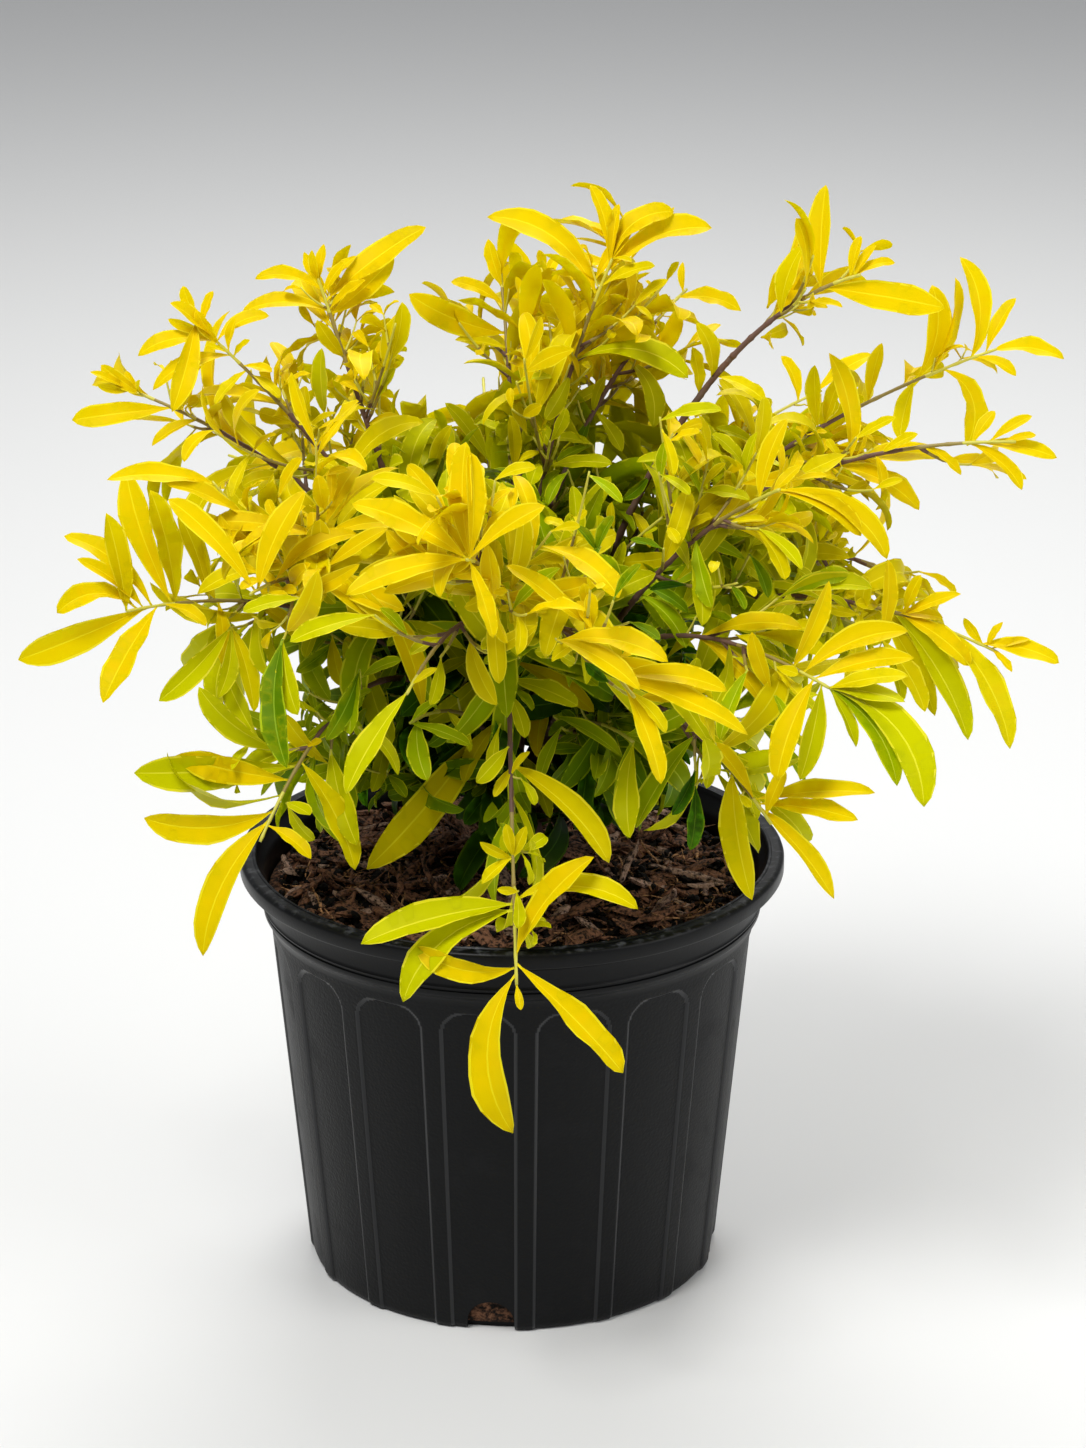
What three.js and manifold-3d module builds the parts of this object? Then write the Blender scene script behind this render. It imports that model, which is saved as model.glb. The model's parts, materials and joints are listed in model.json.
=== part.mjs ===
// Potted golden duranta: a young shrub of long arching shoots in a black nursery pot.
// Millimetres, +Z up. The origin is the middle of the pot's flat underside, and the front is -Y.
// Azimuths are counted from +X towards +Y, so 270 degrees is the front and 0 is the right.

import * as THREE from 'three';
import { mergeVertices } from 'three/addons/utils/BufferGeometryUtils.js';
import Module from 'manifold-3d';

const wasm = await Module();
wasm.setup();
const { Manifold, Mesh: SolidMesh } = wasm;

const DEGREE = Math.PI / 180;
const UP = new THREE.Vector3(0, 0, 1);
const FRONT = -90;

// Clearance between neighbouring solids, and the least that is let pass
const GAP = 0.3;
const LEAST_GAP = 0.28;
// A leafy shoot starts this much farther on from the end of its bough
const SEAM = 0.1;

// Pot: tapered, with a lip, a collar and recessed panels between narrow proud strips
const POT = {
  height: 223.5,
  lipRadius: 139.7,
  lipInner: 131.5,
  lipDrop: 9.5,
  collarRadius: 128.3,
  collarFoot: 195.5,
  collarStep: 2,
  shoulderRadius: 124.5,
  shoulderZ: 189.5,
  baseRadius: 106.6,
  baseEdge: 3,
  wall: 2.2,
  floor: 3,
  panels: 16,
  panelTurn: -18.9,
  stripHalfAngle: 2.2,
  stripSlope: 0.8,
  panelDepth: 1.1,
  panelTop: 184,
  panelCorner: 13,
  panelSlope: 3,
};
const HOLES = { count: 4, turn: -5.8, width: 24, height: 17, reach: 12, below: 1, steps: 6 };

// Soil: bark mulch that fills the pot to a little under the lip, level round the stem
const SOIL = { top: 209, edgeDrop: 3, levelRadius: 30, clear: 0.7, columns: 32 };

// Main stem: short, leaning a little, with a flared foot cut flat at the soil
const STEM = { foot: [8, 4], head: [2, 0], top: 262, sides: 10 };
const STEM_RADII = [12.5, 9.4, 8.2, 7.4, 6.4];

// Limbs, the leafy shoots that go on from them, and the shoots' side twigs
const LIMB = { rootRadius: 3.9, childRadius: 2.9, tipRadius: 2.1, sides: 5, steps: 4, control: 0.45 };
const SHOOT = { rootRadius: 2.3, tipRadius: 1.2, sides: 3, steps: 4 };
const TWIG = { rootRadius: 1.35, tipRadius: 1, sides: 3, steps: 2, length: 78, angle: 50, rise: 0.3 };
// Where side twigs stand on their shoot, how they turn round it, and how much shorter the farther ones are
const TWIG_SPOT = { lowest: 0.06, span: 0.62, first: 0.25, next: 0.618, scatter: 0.2 };
const TWIG_TURN = { next: 137.5, scatter: 30 };
const TWIG_LENGTH = { atRoot: 1.1, fall: 0.45, least: 0.85, more: 0.3, control: 0.5, out: 0.93 };

// Leaves: lance-shaped, and larger than life because they are fewer. Their faces look partly along the
// twig, partly up and partly out of the crown, and no two come nearer than the spread.
const LEAF = {
  length: 71,
  width: 17.5,
  thick: 1.5,
  widest: 0.4,
  sink: 0.3,
  faceAhead: 0.6,
  faceUp: 0.5,
  faceOut: 0.8,
  spread: 7.2,
  marks: [0.3, 0.5, 0.75, 1],
};
// Pairs of leaves: their step along a twig, and how the young ones near its tip close up and point forward
const PAIRS = { step: 21, first: 2.5, crowding: 0.3, bare: 4, youngReach: 20, angle: 58, youngAngle: 34 };
const SCATTER = { turn: 24, angle: 16, bendLeast: 20, bendMore: 45, sizeLeast: 0.86, sizeMore: 0.28 };

// A mass's own space: how much farther from its own shoot than from another's a point of it may be
const SPACE_GIVE = 1.2;
const SHOOT_SAMPLES = 6;
// Two corners of a fused mass that lie nearer than this would pinch it
const PINCH = 0.004;

// Each shoot from its root to its tip. The columns are: the limb it springs from, how far along that,
// the tip's azimuth, reach and height, the arch of its path, its bare share, its side twigs, the size of
// the leaves at its tip as a share of a full leaf and, where it matters, the turn of its first pair.
const SHOOTS = {
  left: ['stem', 0.45, 200, 200, 375, 60, 0.42, 3, 0.8, 80],
  top: ['stem', 0.98, 11, 51, 532, 30, 0.46, 2, 0.4],
  right: ['stem', 0.55, 353, 245, 340, 85, 0.5, 2, 0.6],
  front_droop: ['stem', 0.7, 271, 188, 228, 165, 0.5, 1, 0.95, 90],
  right_high: ['stem', 0.85, 7, 245, 480, 25, 0.52, 2, 0.6],
  left_high: ['stem', 0.9, 184, 155, 505, 25, 0.5, 2, 0.4],
  back: ['stem', 0.75, 95, 185, 420, 50, 0.45, 3, 0.4],
  front_right: ['stem', 0.6, 318, 205, 360, 70, 0.46, 2, 0.7],
  back_left: ['stem', 0.5, 140, 195, 395, 55, 0.45, 3, 0.4],
  back_right: ['stem', 0.65, 38, 205, 430, 45, 0.45, 3, 0.4],
  left_front: ['left', 0.32, 230, 190, 410, 40, 0.4, 3, 0.6],
  low_left: ['left', 0.22, 225, 172, 275, 55, 0.42, 1, 0.95, 70],
  left_upper: ['left_high', 0.24, 172, 200, 462, 25, 0.4, 2, 0.4],
  top_left: ['left_high', 0.36, 168, 98, 520, 20, 0.35, 2, 0.4],
  long_right: ['right_high', 0.18, 353, 172, 532, 90, 0.62, 1, 0.7],
  right_mid: ['right_high', 0.42, 353, 250, 450, 15, 0.4, 1, 0.5],
  right_front: ['front_right', 0.3, 320, 168, 450, 30, 0.4, 2, 0.4],
  low_right: ['front_right', 0.12, 310, 195, 295, 50, 0.45, 1, 0.9, 70],
  right_back_low: ['right', 0.35, 20, 235, 330, 50, 0.42, 2, 0.4],
  top_back_left: ['top', 0.2, 94, 90, 510, 15, 0.35, 2, 0.4],
  top_back_right: ['top', 0.34, 50, 140, 490, 20, 0.4, 2, 0.4],
  front_left: ['front_droop', 0.2, 255, 185, 372, 50, 0.4, 2, 0.7],
  front_centre: ['front_droop', 0.3, 264, 185, 440, 25, 0.4, 2, 0.6],
  front_mid_right: ['front_droop', 0.36, 287, 200, 375, 40, 0.4, 2, 0.6],
};

// Short shoots on the main stem without a bough of their own, which fill the middle of the crown.
// The columns are: how far up the stem, the tip's azimuth, reach and height, the arch and the side twigs.
const INNER_SHOOTS = {
  inner_left: [0.3, 205, 120, 300, 30, 1],
  inner_front_left: [0.4, 245, 115, 330, 35, 1],
  inner_front_right: [0.45, 300, 120, 320, 35, 1],
  inner_right: [0.3, 350, 125, 300, 30, 1],
  inner_back_right: [0.4, 55, 125, 320, 35, 1],
  inner_back: [0.35, 110, 130, 310, 35, 1],
  inner_upper: [0.9, 250, 70, 400, 20, 1],
  inner_upper_right: [0.95, 340, 80, 410, 20, 1],
};
const INNER_YOUNG_SHARE = 0.6;

const FINISH = {
  pot: { color: 0x17181a, roughness: 0.5, metalness: 0 },
  soil: { color: 0x2b1d14, roughness: 0.95, metalness: 0 },
  bark: { color: 0x5d4538, roughness: 0.85, metalness: 0 },
  foliage: { color: 0xd9c60f, roughness: 0.55, metalness: 0 },
};

// A fixed draw between 0 and 1 for a set of whole numbers: the same numbers always give the same draw
function draw(...keys) {
  let h = 0x2545f491;
  for (const key of keys) {
    h = Math.imul(h ^ (key + 0x3c6ef372), 0x85ebca6b);
    h ^= h >>> 13;
    h = Math.imul(h, 0xc2b2ae35);
    h ^= h >>> 16;
  }
  return (h >>> 0) / 4294967296;
}

// A point at an azimuth, a reach from the pot's axis and a height
function place(azimuth, reach, height) {
  return new THREE.Vector3(
    reach * Math.cos(azimuth * DEGREE),
    reach * Math.sin(azimuth * DEGREE),
    height,
  );
}

// A closed geometry as a solid, and a solid as a geometry
function toSolid(geometry) {
  const bare = geometry.clone();
  bare.deleteAttribute('normal');
  bare.deleteAttribute('uv');
  const merged = mergeVertices(bare, 1e-4);
  return new Manifold(new SolidMesh({
    numProp: 3,
    vertProperties: new Float32Array(merged.attributes.position.array),
    triVerts: new Uint32Array(merged.index.array),
  }));
}

function toGeometry(solid) {
  const mesh = solid.getMesh();
  const geometry = new THREE.BufferGeometry();
  geometry.setAttribute('position', new THREE.BufferAttribute(new Float32Array(mesh.vertProperties), 3));
  geometry.setIndex(new THREE.BufferAttribute(new Uint32Array(mesh.triVerts), 1));
  geometry.computeVertexNormals();
  return geometry;
}

// The largest body of a solid: loose scraps are dropped and sealed hollows are filled
function mainBody(solid) {
  return solid.decompose().sort((a, b) => b.volume() - a.volume())[0];
}

// The direction of a curve, with its length, also a little past its ends
function speed(curve, t) {
  return curve.v1.clone().sub(curve.v0).multiplyScalar(2 * (1 - t))
    .addScaledVector(curve.v2.clone().sub(curve.v1), 2 * t);
}

// A value read from a list spread evenly from share 0 to share 1
function readList(list, share) {
  const low = Math.min(Math.floor(share * (list.length - 1)), list.length - 2);
  return list[low] + (list[low + 1] - list[low]) * (share * (list.length - 1) - low);
}

// A tapering limb: a cylinder carried along part of a flat curve, with a list of radii from start to end.
// fat is added all round and at both ends.
function limbSolid(curve, start, end, radii, { sides, steps }, fat = 0) {
  const geometry = new THREE.CylinderGeometry(1, 1, 1, sides, steps);
  const position = geometry.attributes.position;
  const chord = curve.v2.clone().sub(curve.v0);
  const across = chord.clone().cross(curve.v1.clone().sub(curve.v0)).normalize();
  const grown = fat / Math.cos(Math.PI / sides);
  for (let i = 0; i < position.count; i += 1) {
    const share = position.getY(i) + 0.5;
    const t = start + (end - start) * share;
    const tangent = speed(curve, t).normalize();
    const lift = across.clone().cross(tangent);
    const radius = readList(radii, share) + grown;
    const point = curve.getPoint(t)
      .addScaledVector(across, position.getX(i) * radius)
      .addScaledVector(lift, position.getZ(i) * radius);
    if (share === 0) {
      point.addScaledVector(tangent, -fat);
    }
    if (share === 1) {
      point.addScaledVector(tangent, fat);
    }
    position.setXYZ(i, point.x, point.y, point.z);
  }
  return toSolid(geometry);
}

// The pot's outer radius at a height below its shoulder, and its inner radius
function wallRadius(z) {
  return POT.baseRadius + ((POT.shoulderRadius - POT.baseRadius) * z) / POT.shoulderZ;
}

function innerRadius(z) {
  return wallRadius(z) - POT.panelDepth - POT.wall;
}

// The pot is a turned profile whose columns are then moved to the edges of the strips and panels.
// Each row of the profile is a radius, a height and how deep the panel's edge and middle are cut there.
function potSolid() {
  const top = POT.height;
  const lipFoot = top - POT.lipDrop;
  const panelRow = (z, edge, middle) => [wallRadius(z), z, edge, middle];
  const profile = [
    [0, 0, 0, 0],
    [POT.baseRadius - POT.baseEdge, 0, 0, 0],
    panelRow(POT.baseEdge, 1, 1),
    panelRow(POT.panelTop - POT.panelCorner, 1, 1),
    panelRow(POT.panelTop - POT.panelSlope, 0, 1),
    panelRow(POT.panelTop, 0, 0),
    [POT.collarRadius, POT.collarFoot, 0, 0],
    [POT.collarRadius, lipFoot, 0, 0],
    [POT.lipRadius, lipFoot, 0, 0],
    [POT.lipRadius, top, 0, 0],
    [POT.lipInner, top, 0, 0],
    [innerRadius(POT.shoulderZ) + POT.collarStep, POT.collarFoot, 0, 0],
    [innerRadius(POT.shoulderZ), POT.shoulderZ, 0, 0],
    [innerRadius(POT.floor), POT.floor, 0, 0],
    [0, POT.floor, 0, 0],
  ];
  const pitch = 360 / POT.panels;
  const foot = POT.stripHalfAngle + POT.stripSlope;
  const kinds = ['strip', 'strip', 'edge', 'middle', 'edge'];
  const turns = [-POT.stripHalfAngle, POT.stripHalfAngle, foot, pitch / 2, pitch - foot];
  const columns = POT.panels * kinds.length;
  const geometry = new THREE.LatheGeometry(profile.map(([r, z]) => new THREE.Vector2(r, z)), columns);
  const position = geometry.attributes.position;
  for (let i = 0; i < position.count; i += 1) {
    const column = Math.floor(i / profile.length) % columns;
    const [radius, z, edge, middle] = profile[i % profile.length];
    const cut = { strip: 0, edge, middle }[kinds[column % kinds.length]];
    const turn = Math.floor(column / kinds.length) * pitch + turns[column % kinds.length];
    const point = place(FRONT + POT.panelTurn + turn, radius - cut * POT.panelDepth, z);
    position.setXYZ(i, point.x, point.y, point.z);
  }
  const holeTurns = Array.from({ length: HOLES.count }, (_, k) => HOLES.turn + (360 / HOLES.count) * k);
  return mainBody(Manifold.difference([toSolid(geometry), ...holeTurns.map(holeCutter)]));
}

// A drain hole's cutter: an arch that runs in through the wall at the foot of the pot
function holeCutter(turn) {
  const half = HOLES.width / 2;
  const arch = new THREE.Shape();
  arch.moveTo(-half, -HOLES.below);
  arch.lineTo(half, -HOLES.below);
  arch.lineTo(half, HOLES.height - half);
  arch.absarc(0, HOLES.height - half, half, 0, Math.PI, false);
  const cutter = new THREE.ExtrudeGeometry(arch, {
    depth: HOLES.reach,
    bevelEnabled: false,
    curveSegments: HOLES.steps,
  });
  cutter.rotateX(Math.PI / 2);
  cutter.translate(0, -POT.baseRadius + HOLES.reach / 2, 0);
  cutter.rotateZ(turn * DEGREE);
  return toSolid(cutter);
}

function soilSolid() {
  const radius = (z) => innerRadius(z) - SOIL.clear;
  const bottom = POT.floor + GAP;
  const profile = [
    [0, bottom],
    [radius(bottom), bottom],
    [radius(POT.shoulderZ), POT.shoulderZ],
    [radius(POT.shoulderZ) + POT.collarStep, SOIL.top - SOIL.edgeDrop],
    [SOIL.levelRadius, SOIL.top],
    [0, SOIL.top],
  ];
  const geometry = new THREE.LatheGeometry(profile.map(([r, z]) => new THREE.Vector2(r, z)), SOIL.columns);
  geometry.rotateX(Math.PI / 2);
  return toSolid(geometry);
}

// Curves: the main stem's, and each shoot's from its root on its parent to its tip
function stemCurve() {
  const foot = new THREE.Vector3(STEM.foot[0], STEM.foot[1], SOIL.top + GAP);
  const head = new THREE.Vector3(STEM.head[0], STEM.head[1], STEM.top);
  const middle = new THREE.Vector3(foot.x, foot.y, (foot.z + head.z) / 2);
  return new THREE.QuadraticBezierCurve3(foot, middle, head);
}

// A shoot leaves its parent part way between the parent's own direction and its own chord
function shootCurve(parent, along, tip, arch) {
  const root = parent.getPoint(along);
  const chord = tip.clone().sub(root);
  const reach = chord.length();
  const leave = speed(parent, along).normalize().add(chord.clone().normalize()).normalize();
  const control = root.clone().addScaledVector(leave, LIMB.control * reach).addScaledVector(UP, arch);
  return new THREE.QuadraticBezierCurve3(root, control, tip);
}

// A side twig: it leaves its shoot at an angle, turned a golden angle on from the last, and rises a little
function twigCurve(shoot, mass, index) {
  const { start, curve } = shoot;
  const spot = (TWIG_SPOT.first + TWIG_SPOT.next * index + TWIG_SPOT.scatter * draw(mass, index, 1)) % 1;
  const share = TWIG_SPOT.lowest + TWIG_SPOT.span * spot;
  const t = start + (1 - start) * share;
  const turn = 360 * draw(mass, 0, 2) + TWIG_TURN.next * index + TWIG_TURN.scatter * draw(mass, index, 3);
  const tangent = speed(curve, t).normalize();
  const out = outward(tangent, turn);
  const scatter = TWIG_LENGTH.least + TWIG_LENGTH.more * draw(mass, index, 4);
  const length = TWIG.length * (TWIG_LENGTH.atRoot - TWIG_LENGTH.fall * share) * scatter;
  const leave = tangent.clone().multiplyScalar(Math.cos(TWIG.angle * DEGREE))
    .addScaledVector(out, Math.sin(TWIG.angle * DEGREE));
  const root = curve.getPoint(t);
  const control = root.clone().addScaledVector(leave, TWIG_LENGTH.control * length);
  const tip = root.clone().addScaledVector(leave, TWIG_LENGTH.out * length);
  return new THREE.QuadraticBezierCurve3(root, control, tip.addScaledVector(UP, TWIG.rise * length));
}

// The direction square to a tangent at a turn about it, counted from its upper side
function outward(tangent, turn) {
  const side = new THREE.Vector3().crossVectors(tangent, UP);
  if (side.length() < 0.05) {
    side.set(1, 0, 0).addScaledVector(tangent, -tangent.x);
  }
  side.normalize();
  const over = new THREE.Vector3().crossVectors(side, tangent).normalize();
  return over.multiplyScalar(Math.cos(turn * DEGREE)).addScaledVector(side, Math.sin(turn * DEGREE));
}

// The leaves of a shoot or twig, in crossed pairs that close up and grow young towards its tip
function leafPlaces(axis, mass) {
  const { twig, youngShare } = axis;
  const length = axis.curve.getLength() * (1 - axis.start);
  const turn = axis.turn ?? 360 * draw(mass, twig, 5);
  const places = [];
  for (let pair = 0; ; pair += 1) {
    const back = PAIRS.first + PAIRS.step * (pair - PAIRS.crowding * (1 - Math.exp(-pair)));
    if (back > length - PAIRS.bare) {
      return places;
    }
    const young = Math.exp(-back / PAIRS.youngReach);
    const angle = PAIRS.angle + (PAIRS.youngAngle - PAIRS.angle) * young;
    const share = back / length;
    const t = 1 - (1 - axis.start) * share;
    const scatter = SCATTER.sizeLeast + SCATTER.sizeMore * draw(mass, twig, pair, 6);
    for (let hand = 0; hand < 2; hand += 1) {
      places.push({
        root: axis.curve.getPoint(t),
        tangent: speed(axis.curve, t).normalize(),
        radius: axis.tipRadius + (axis.rootRadius - axis.tipRadius) * share,
        turn: turn + 90 * pair + 180 * hand + SCATTER.turn * (draw(mass, twig, pair, hand + 7) - 0.5),
        angle: angle + SCATTER.angle * (draw(mass, twig, pair, hand + 9) - 0.5),
        bend: (SCATTER.bendLeast + SCATTER.bendMore * draw(mass, twig, pair, hand + 11)) * (1 - young),
        size: (1 - (1 - youngShare) * young) * scatter,
      });
    }
  }
}

// A leaf is a pointed solid of six faces: a root sunk past the middle of its twig, two edges and a keel at
// its widest, and a tip. It arches away from its upper face.
function leafSolid({ root, tangent, radius, turn, angle, bend, size }) {
  const out = outward(tangent, turn);
  const leave = tangent.clone().multiplyScalar(Math.cos(angle * DEGREE))
    .addScaledVector(out, Math.sin(angle * DEGREE)).normalize();
  const face = tangent.clone().multiplyScalar(LEAF.faceAhead).addScaledVector(UP, LEAF.faceUp);
  face.addScaledVector(new THREE.Vector3(root.x, root.y, 0).normalize(), LEAF.faceOut);
  face.addScaledVector(leave, -face.dot(leave)).normalize();
  const side = new THREE.Vector3().crossVectors(leave, face);
  const length = LEAF.length * size;
  const curl = Math.max(bend, 1) * DEGREE;
  const along = (share) => root.clone()
    .addScaledVector(leave, (length / curl) * Math.sin(curl * share))
    .addScaledVector(face, (length / curl) * (Math.cos(curl * share) - 1));
  const upper = face.clone().multiplyScalar(Math.cos(curl * LEAF.widest))
    .addScaledVector(leave, Math.sin(curl * LEAF.widest));
  const middle = along(LEAF.widest);
  const half = (LEAF.width * size) / 2;
  const corners = [
    root.clone().addScaledVector(leave, -LEAF.sink * radius),
    middle.clone().addScaledVector(side, half),
    middle.clone().addScaledVector(side, -half),
    middle.clone().addScaledVector(upper, -LEAF.thick),
    along(1),
  ];
  const geometry = new THREE.BufferGeometry().setFromPoints(corners);
  geometry.setIndex([0, 1, 2, 1, 4, 2, 0, 3, 1, 1, 3, 4, 0, 2, 3, 2, 4, 3]);
  return { solid: toSolid(geometry), middle, marks: LEAF.marks.map(along) };
}

// Whether two corners of a solid lie so near each other that its skin is pinched there
function isPinched(solid) {
  const mesh = solid.getMesh();
  const corners = Array.from({ length: mesh.numVert }, (_, k) => (
    new THREE.Vector3().fromArray(mesh.vertProperties, mesh.numProp * k)
  ));
  corners.sort((a, b) => a.x - b.x);
  return corners.some((corner, k) => {
    for (let j = k + 1; j < corners.length && corners[j].x - corner.x < PINCH; j += 1) {
      if (corners[j].distanceTo(corner) < PINCH) {
        return true;
      }
    }
    return false;
  });
}

// Solids that others keep clear of, each with its box and its owner: a mass, or nothing that grows
const FIXED = -1;
const placed = [];

function addPlaced(owner, solid) {
  placed.push({ owner, solid, box: solid.boundingBox() });
}

function isClear(owner, solid) {
  const box = solid.boundingBox();
  return placed.every((other) => {
    const apart = [0, 1, 2].some((k) => (
      box.min[k] > other.box.max[k] + GAP || box.max[k] < other.box.min[k] - GAP
    ));
    return other.owner === owner || apart || solid.minGap(other.solid, 2 * GAP) >= LEAST_GAP;
  });
}

// Whether a point is in a mass's own space: nearer its shoot than any other mass's, with a little give
function inSpace(point, mass) {
  const reach = ({ samples }) => Math.min(...samples.map((sample) => sample.distanceTo(point)));
  const distances = shoots.map(reach);
  const nearest = Math.min(...distances.filter((_, k) => k !== mass));
  return distances[mass] < nearest * SPACE_GIVE;
}

const group = new THREE.Group();
group.name = 'potted_golden_duranta';
const materials = Object.fromEntries(
  Object.entries(FINISH).map(([name, finish]) => [name, new THREE.MeshStandardMaterial(finish)]),
);

function addMesh(name, solid, finish) {
  const mesh = new THREE.Mesh(toGeometry(solid), materials[finish]);
  mesh.name = name;
  group.add(mesh);
}

// Pot, soil and main stem
const trunkCurve = stemCurve();
const trunkShape = { sides: STEM.sides, steps: STEM_RADII.length - 1 };
const base = {
  pot: [potSolid(), 'pot'],
  soil: [soilSolid(), 'soil'],
  main_stem: [limbSolid(trunkCurve, 0, 1, STEM_RADII, trunkShape), 'bark'],
};
for (const [name, [solid, finish]] of Object.entries(base)) {
  addMesh(name, solid, finish);
  addPlaced(FIXED, solid);
}

// Boughs: each is cut clear of the main stem and of the boughs made before it
const curves = { stem: trunkCurve };
const fatLimbs = [limbSolid(trunkCurve, 0, 1, STEM_RADII, trunkShape, GAP)];
const shoots = [];

function addShoot(name, curve, start, twigs, youngShare, turn) {
  const samples = Array.from({ length: SHOOT_SAMPLES + 1 }, (_, k) => (
    curve.getPoint(start + ((1 - start) * k) / SHOOT_SAMPLES)
  ));
  shoots.push({ name, curve, start, twigs, youngShare, turn, samples, twig: 0, ...SHOOT });
}

for (const [name, row] of Object.entries(SHOOTS)) {
  const [parent, along, azimuth, reach, height, arch, bare, twigs, youngShare, turn] = row;
  const curve = shootCurve(curves[parent], along, place(azimuth, reach, height), arch);
  curves[name] = curve;
  const radii = [parent === 'stem' ? LIMB.rootRadius : LIMB.childRadius, LIMB.tipRadius];
  const limb = mainBody(Manifold.difference([limbSolid(curve, 0, bare, radii, LIMB), ...fatLimbs]));
  fatLimbs.push(limbSolid(curve, 0, bare, radii, LIMB, GAP));
  addMesh(`bough_${name}`, limb, 'bark');
  addPlaced(FIXED, limb);
  const leafyFrom = bare + (GAP + SEAM) / speed(curve, bare).length();
  addShoot(name, curve, leafyFrom, twigs, youngShare, turn);
}
for (const [name, row] of Object.entries(INNER_SHOOTS)) {
  const [along, azimuth, reach, height, arch, twigs] = row;
  const curve = shootCurve(trunkCurve, along, place(azimuth, reach, height), arch);
  addShoot(name, curve, 0, twigs, INNER_YOUNG_SHARE);
}

// The stems of every mass first and then their side twigs, so that no leaf takes their place
const masses = shoots.map((shoot, mass) => {
  const whole = limbSolid(shoot.curve, shoot.start, 1, [SHOOT.rootRadius, SHOOT.tipRadius], SHOOT);
  const stem = mainBody(Manifold.difference([whole, ...fatLimbs]));
  addPlaced(mass, stem);
  return { axes: [shoot], fused: stem };
});

// Fuse a twig or leaf on to its mass, unless it comes too near another mass or would pinch its own
function fuse(mass, solid) {
  const fused = masses[mass].fused.add(solid);
  const fits = isClear(mass, solid) && !isPinched(fused);
  if (fits) {
    addPlaced(mass, solid);
    masses[mass].fused = fused;
  }
  return fits;
}

shoots.forEach((shoot, mass) => {
  for (let index = 0; index < shoot.twigs; index += 1) {
    const curve = twigCurve(shoot, mass, index);
    const solid = limbSolid(curve, 0, 1, [TWIG.rootRadius, TWIG.tipRadius], TWIG);
    if (inSpace(curve.v2, mass) && fuse(mass, solid)) {
      masses[mass].axes.push({ curve, start: 0, twig: index + 1, youngShare: shoot.youngShare, ...TWIG });
    }
  }
});

// Leaves: one that would leave its mass's space, or crowd another leaf, is skipped too
const marks = [];
shoots.forEach(({ name }, mass) => {
  for (const leafPlace of masses[mass].axes.flatMap((axis) => leafPlaces(axis, mass))) {
    const { solid, middle, marks: own } = leafSolid(leafPlace);
    const crowded = marks.some((mark) => own.some((point) => point.distanceTo(mark) < LEAF.spread));
    if (!crowded && inSpace(middle, mass) && fuse(mass, solid)) {
      marks.push(...own);
    }
  }
  addMesh(`foliage_${name}`, mainBody(masses[mass].fused), 'foliage');
});

export default group;
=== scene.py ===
"""Potted golden duranta: a young shrub of long arching shoots in a black nursery pot.

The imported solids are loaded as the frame, and each piece made here stands for some of them. The growth rule
is the solids' own, written again for whole arrays and carried on to finer twigs and more leaves.
The rule works in millimetres, and meshes are written in metres. Azimuths are counted from +X towards +Y,
so 270 degrees is the front and 0 is the right.
"""

import json
import math
from collections import namedtuple

import bpy
import numpy as np
from bpy.props import FloatProperty, FloatVectorProperty, IntProperty, PointerProperty
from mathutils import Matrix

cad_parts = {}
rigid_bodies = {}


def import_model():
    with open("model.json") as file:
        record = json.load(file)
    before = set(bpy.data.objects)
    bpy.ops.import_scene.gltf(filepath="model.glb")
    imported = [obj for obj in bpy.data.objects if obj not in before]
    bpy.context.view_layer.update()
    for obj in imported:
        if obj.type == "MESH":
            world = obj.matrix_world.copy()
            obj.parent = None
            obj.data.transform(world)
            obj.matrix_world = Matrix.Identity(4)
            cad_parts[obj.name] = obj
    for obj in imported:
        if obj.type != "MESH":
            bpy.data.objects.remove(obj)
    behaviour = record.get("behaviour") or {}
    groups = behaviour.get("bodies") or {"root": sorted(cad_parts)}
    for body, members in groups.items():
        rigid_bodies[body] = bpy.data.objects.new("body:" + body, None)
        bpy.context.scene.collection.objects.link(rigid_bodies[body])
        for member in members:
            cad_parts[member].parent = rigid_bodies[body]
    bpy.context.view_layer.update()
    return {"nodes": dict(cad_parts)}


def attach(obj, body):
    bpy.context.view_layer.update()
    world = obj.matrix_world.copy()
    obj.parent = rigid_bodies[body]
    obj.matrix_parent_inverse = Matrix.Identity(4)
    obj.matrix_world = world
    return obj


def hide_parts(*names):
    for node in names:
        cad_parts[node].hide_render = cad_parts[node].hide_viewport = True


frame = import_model()

bl_info = {
    "name": "Potted golden duranta",
    "version": (1, 0, 0),
    "blender": (4, 5, 0),
    "location": "3D View > Sidebar > Duranta",
    "description": "Makes a potted golden duranta piece by piece around its packed solids",
    "category": "Object",
}

MM = 0.001
DEGREE = math.pi / 180
UP = np.array([0.0, 0.0, 1.0])
FRONT = -90.0
BODY = "root"
NODES = sorted(frame["nodes"])
BOUGH_NODES = [name for name in NODES if name.startswith("bough_")]
FOLIAGE_NODES = [name for name in NODES if name.startswith("foliage_")]

# Sizes shared with the solids, in millimetres
POT_SHOULDER = 124.5
POT_SHOULDER_Z = 189.5
POT_BASE = 106.6
POT_INSET = 3.3
PANELS = 16
PANEL_TURN = -18.9
STRIP_HALF = 2.2
PANEL_TOP = 184.0
PANEL_CORNER = 13.0
HOLES = {"count": 4, "turn": -5.8, "width": 24.0, "height": 17.0, "reach": 14.0}
SOIL_TOP = 209.0
STEM_FOOT = (8.0, 4.0, SOIL_TOP + 0.3)
STEM_HEAD = (2.0, 0.0, 262.0)
STEM_RADII = (12.5, 9.4, 8.2, 7.4, 6.4)

Shoot = namedtuple("Shoot", "parent along azimuth reach height arch bare twigs young turn", defaults=(None,))
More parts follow.
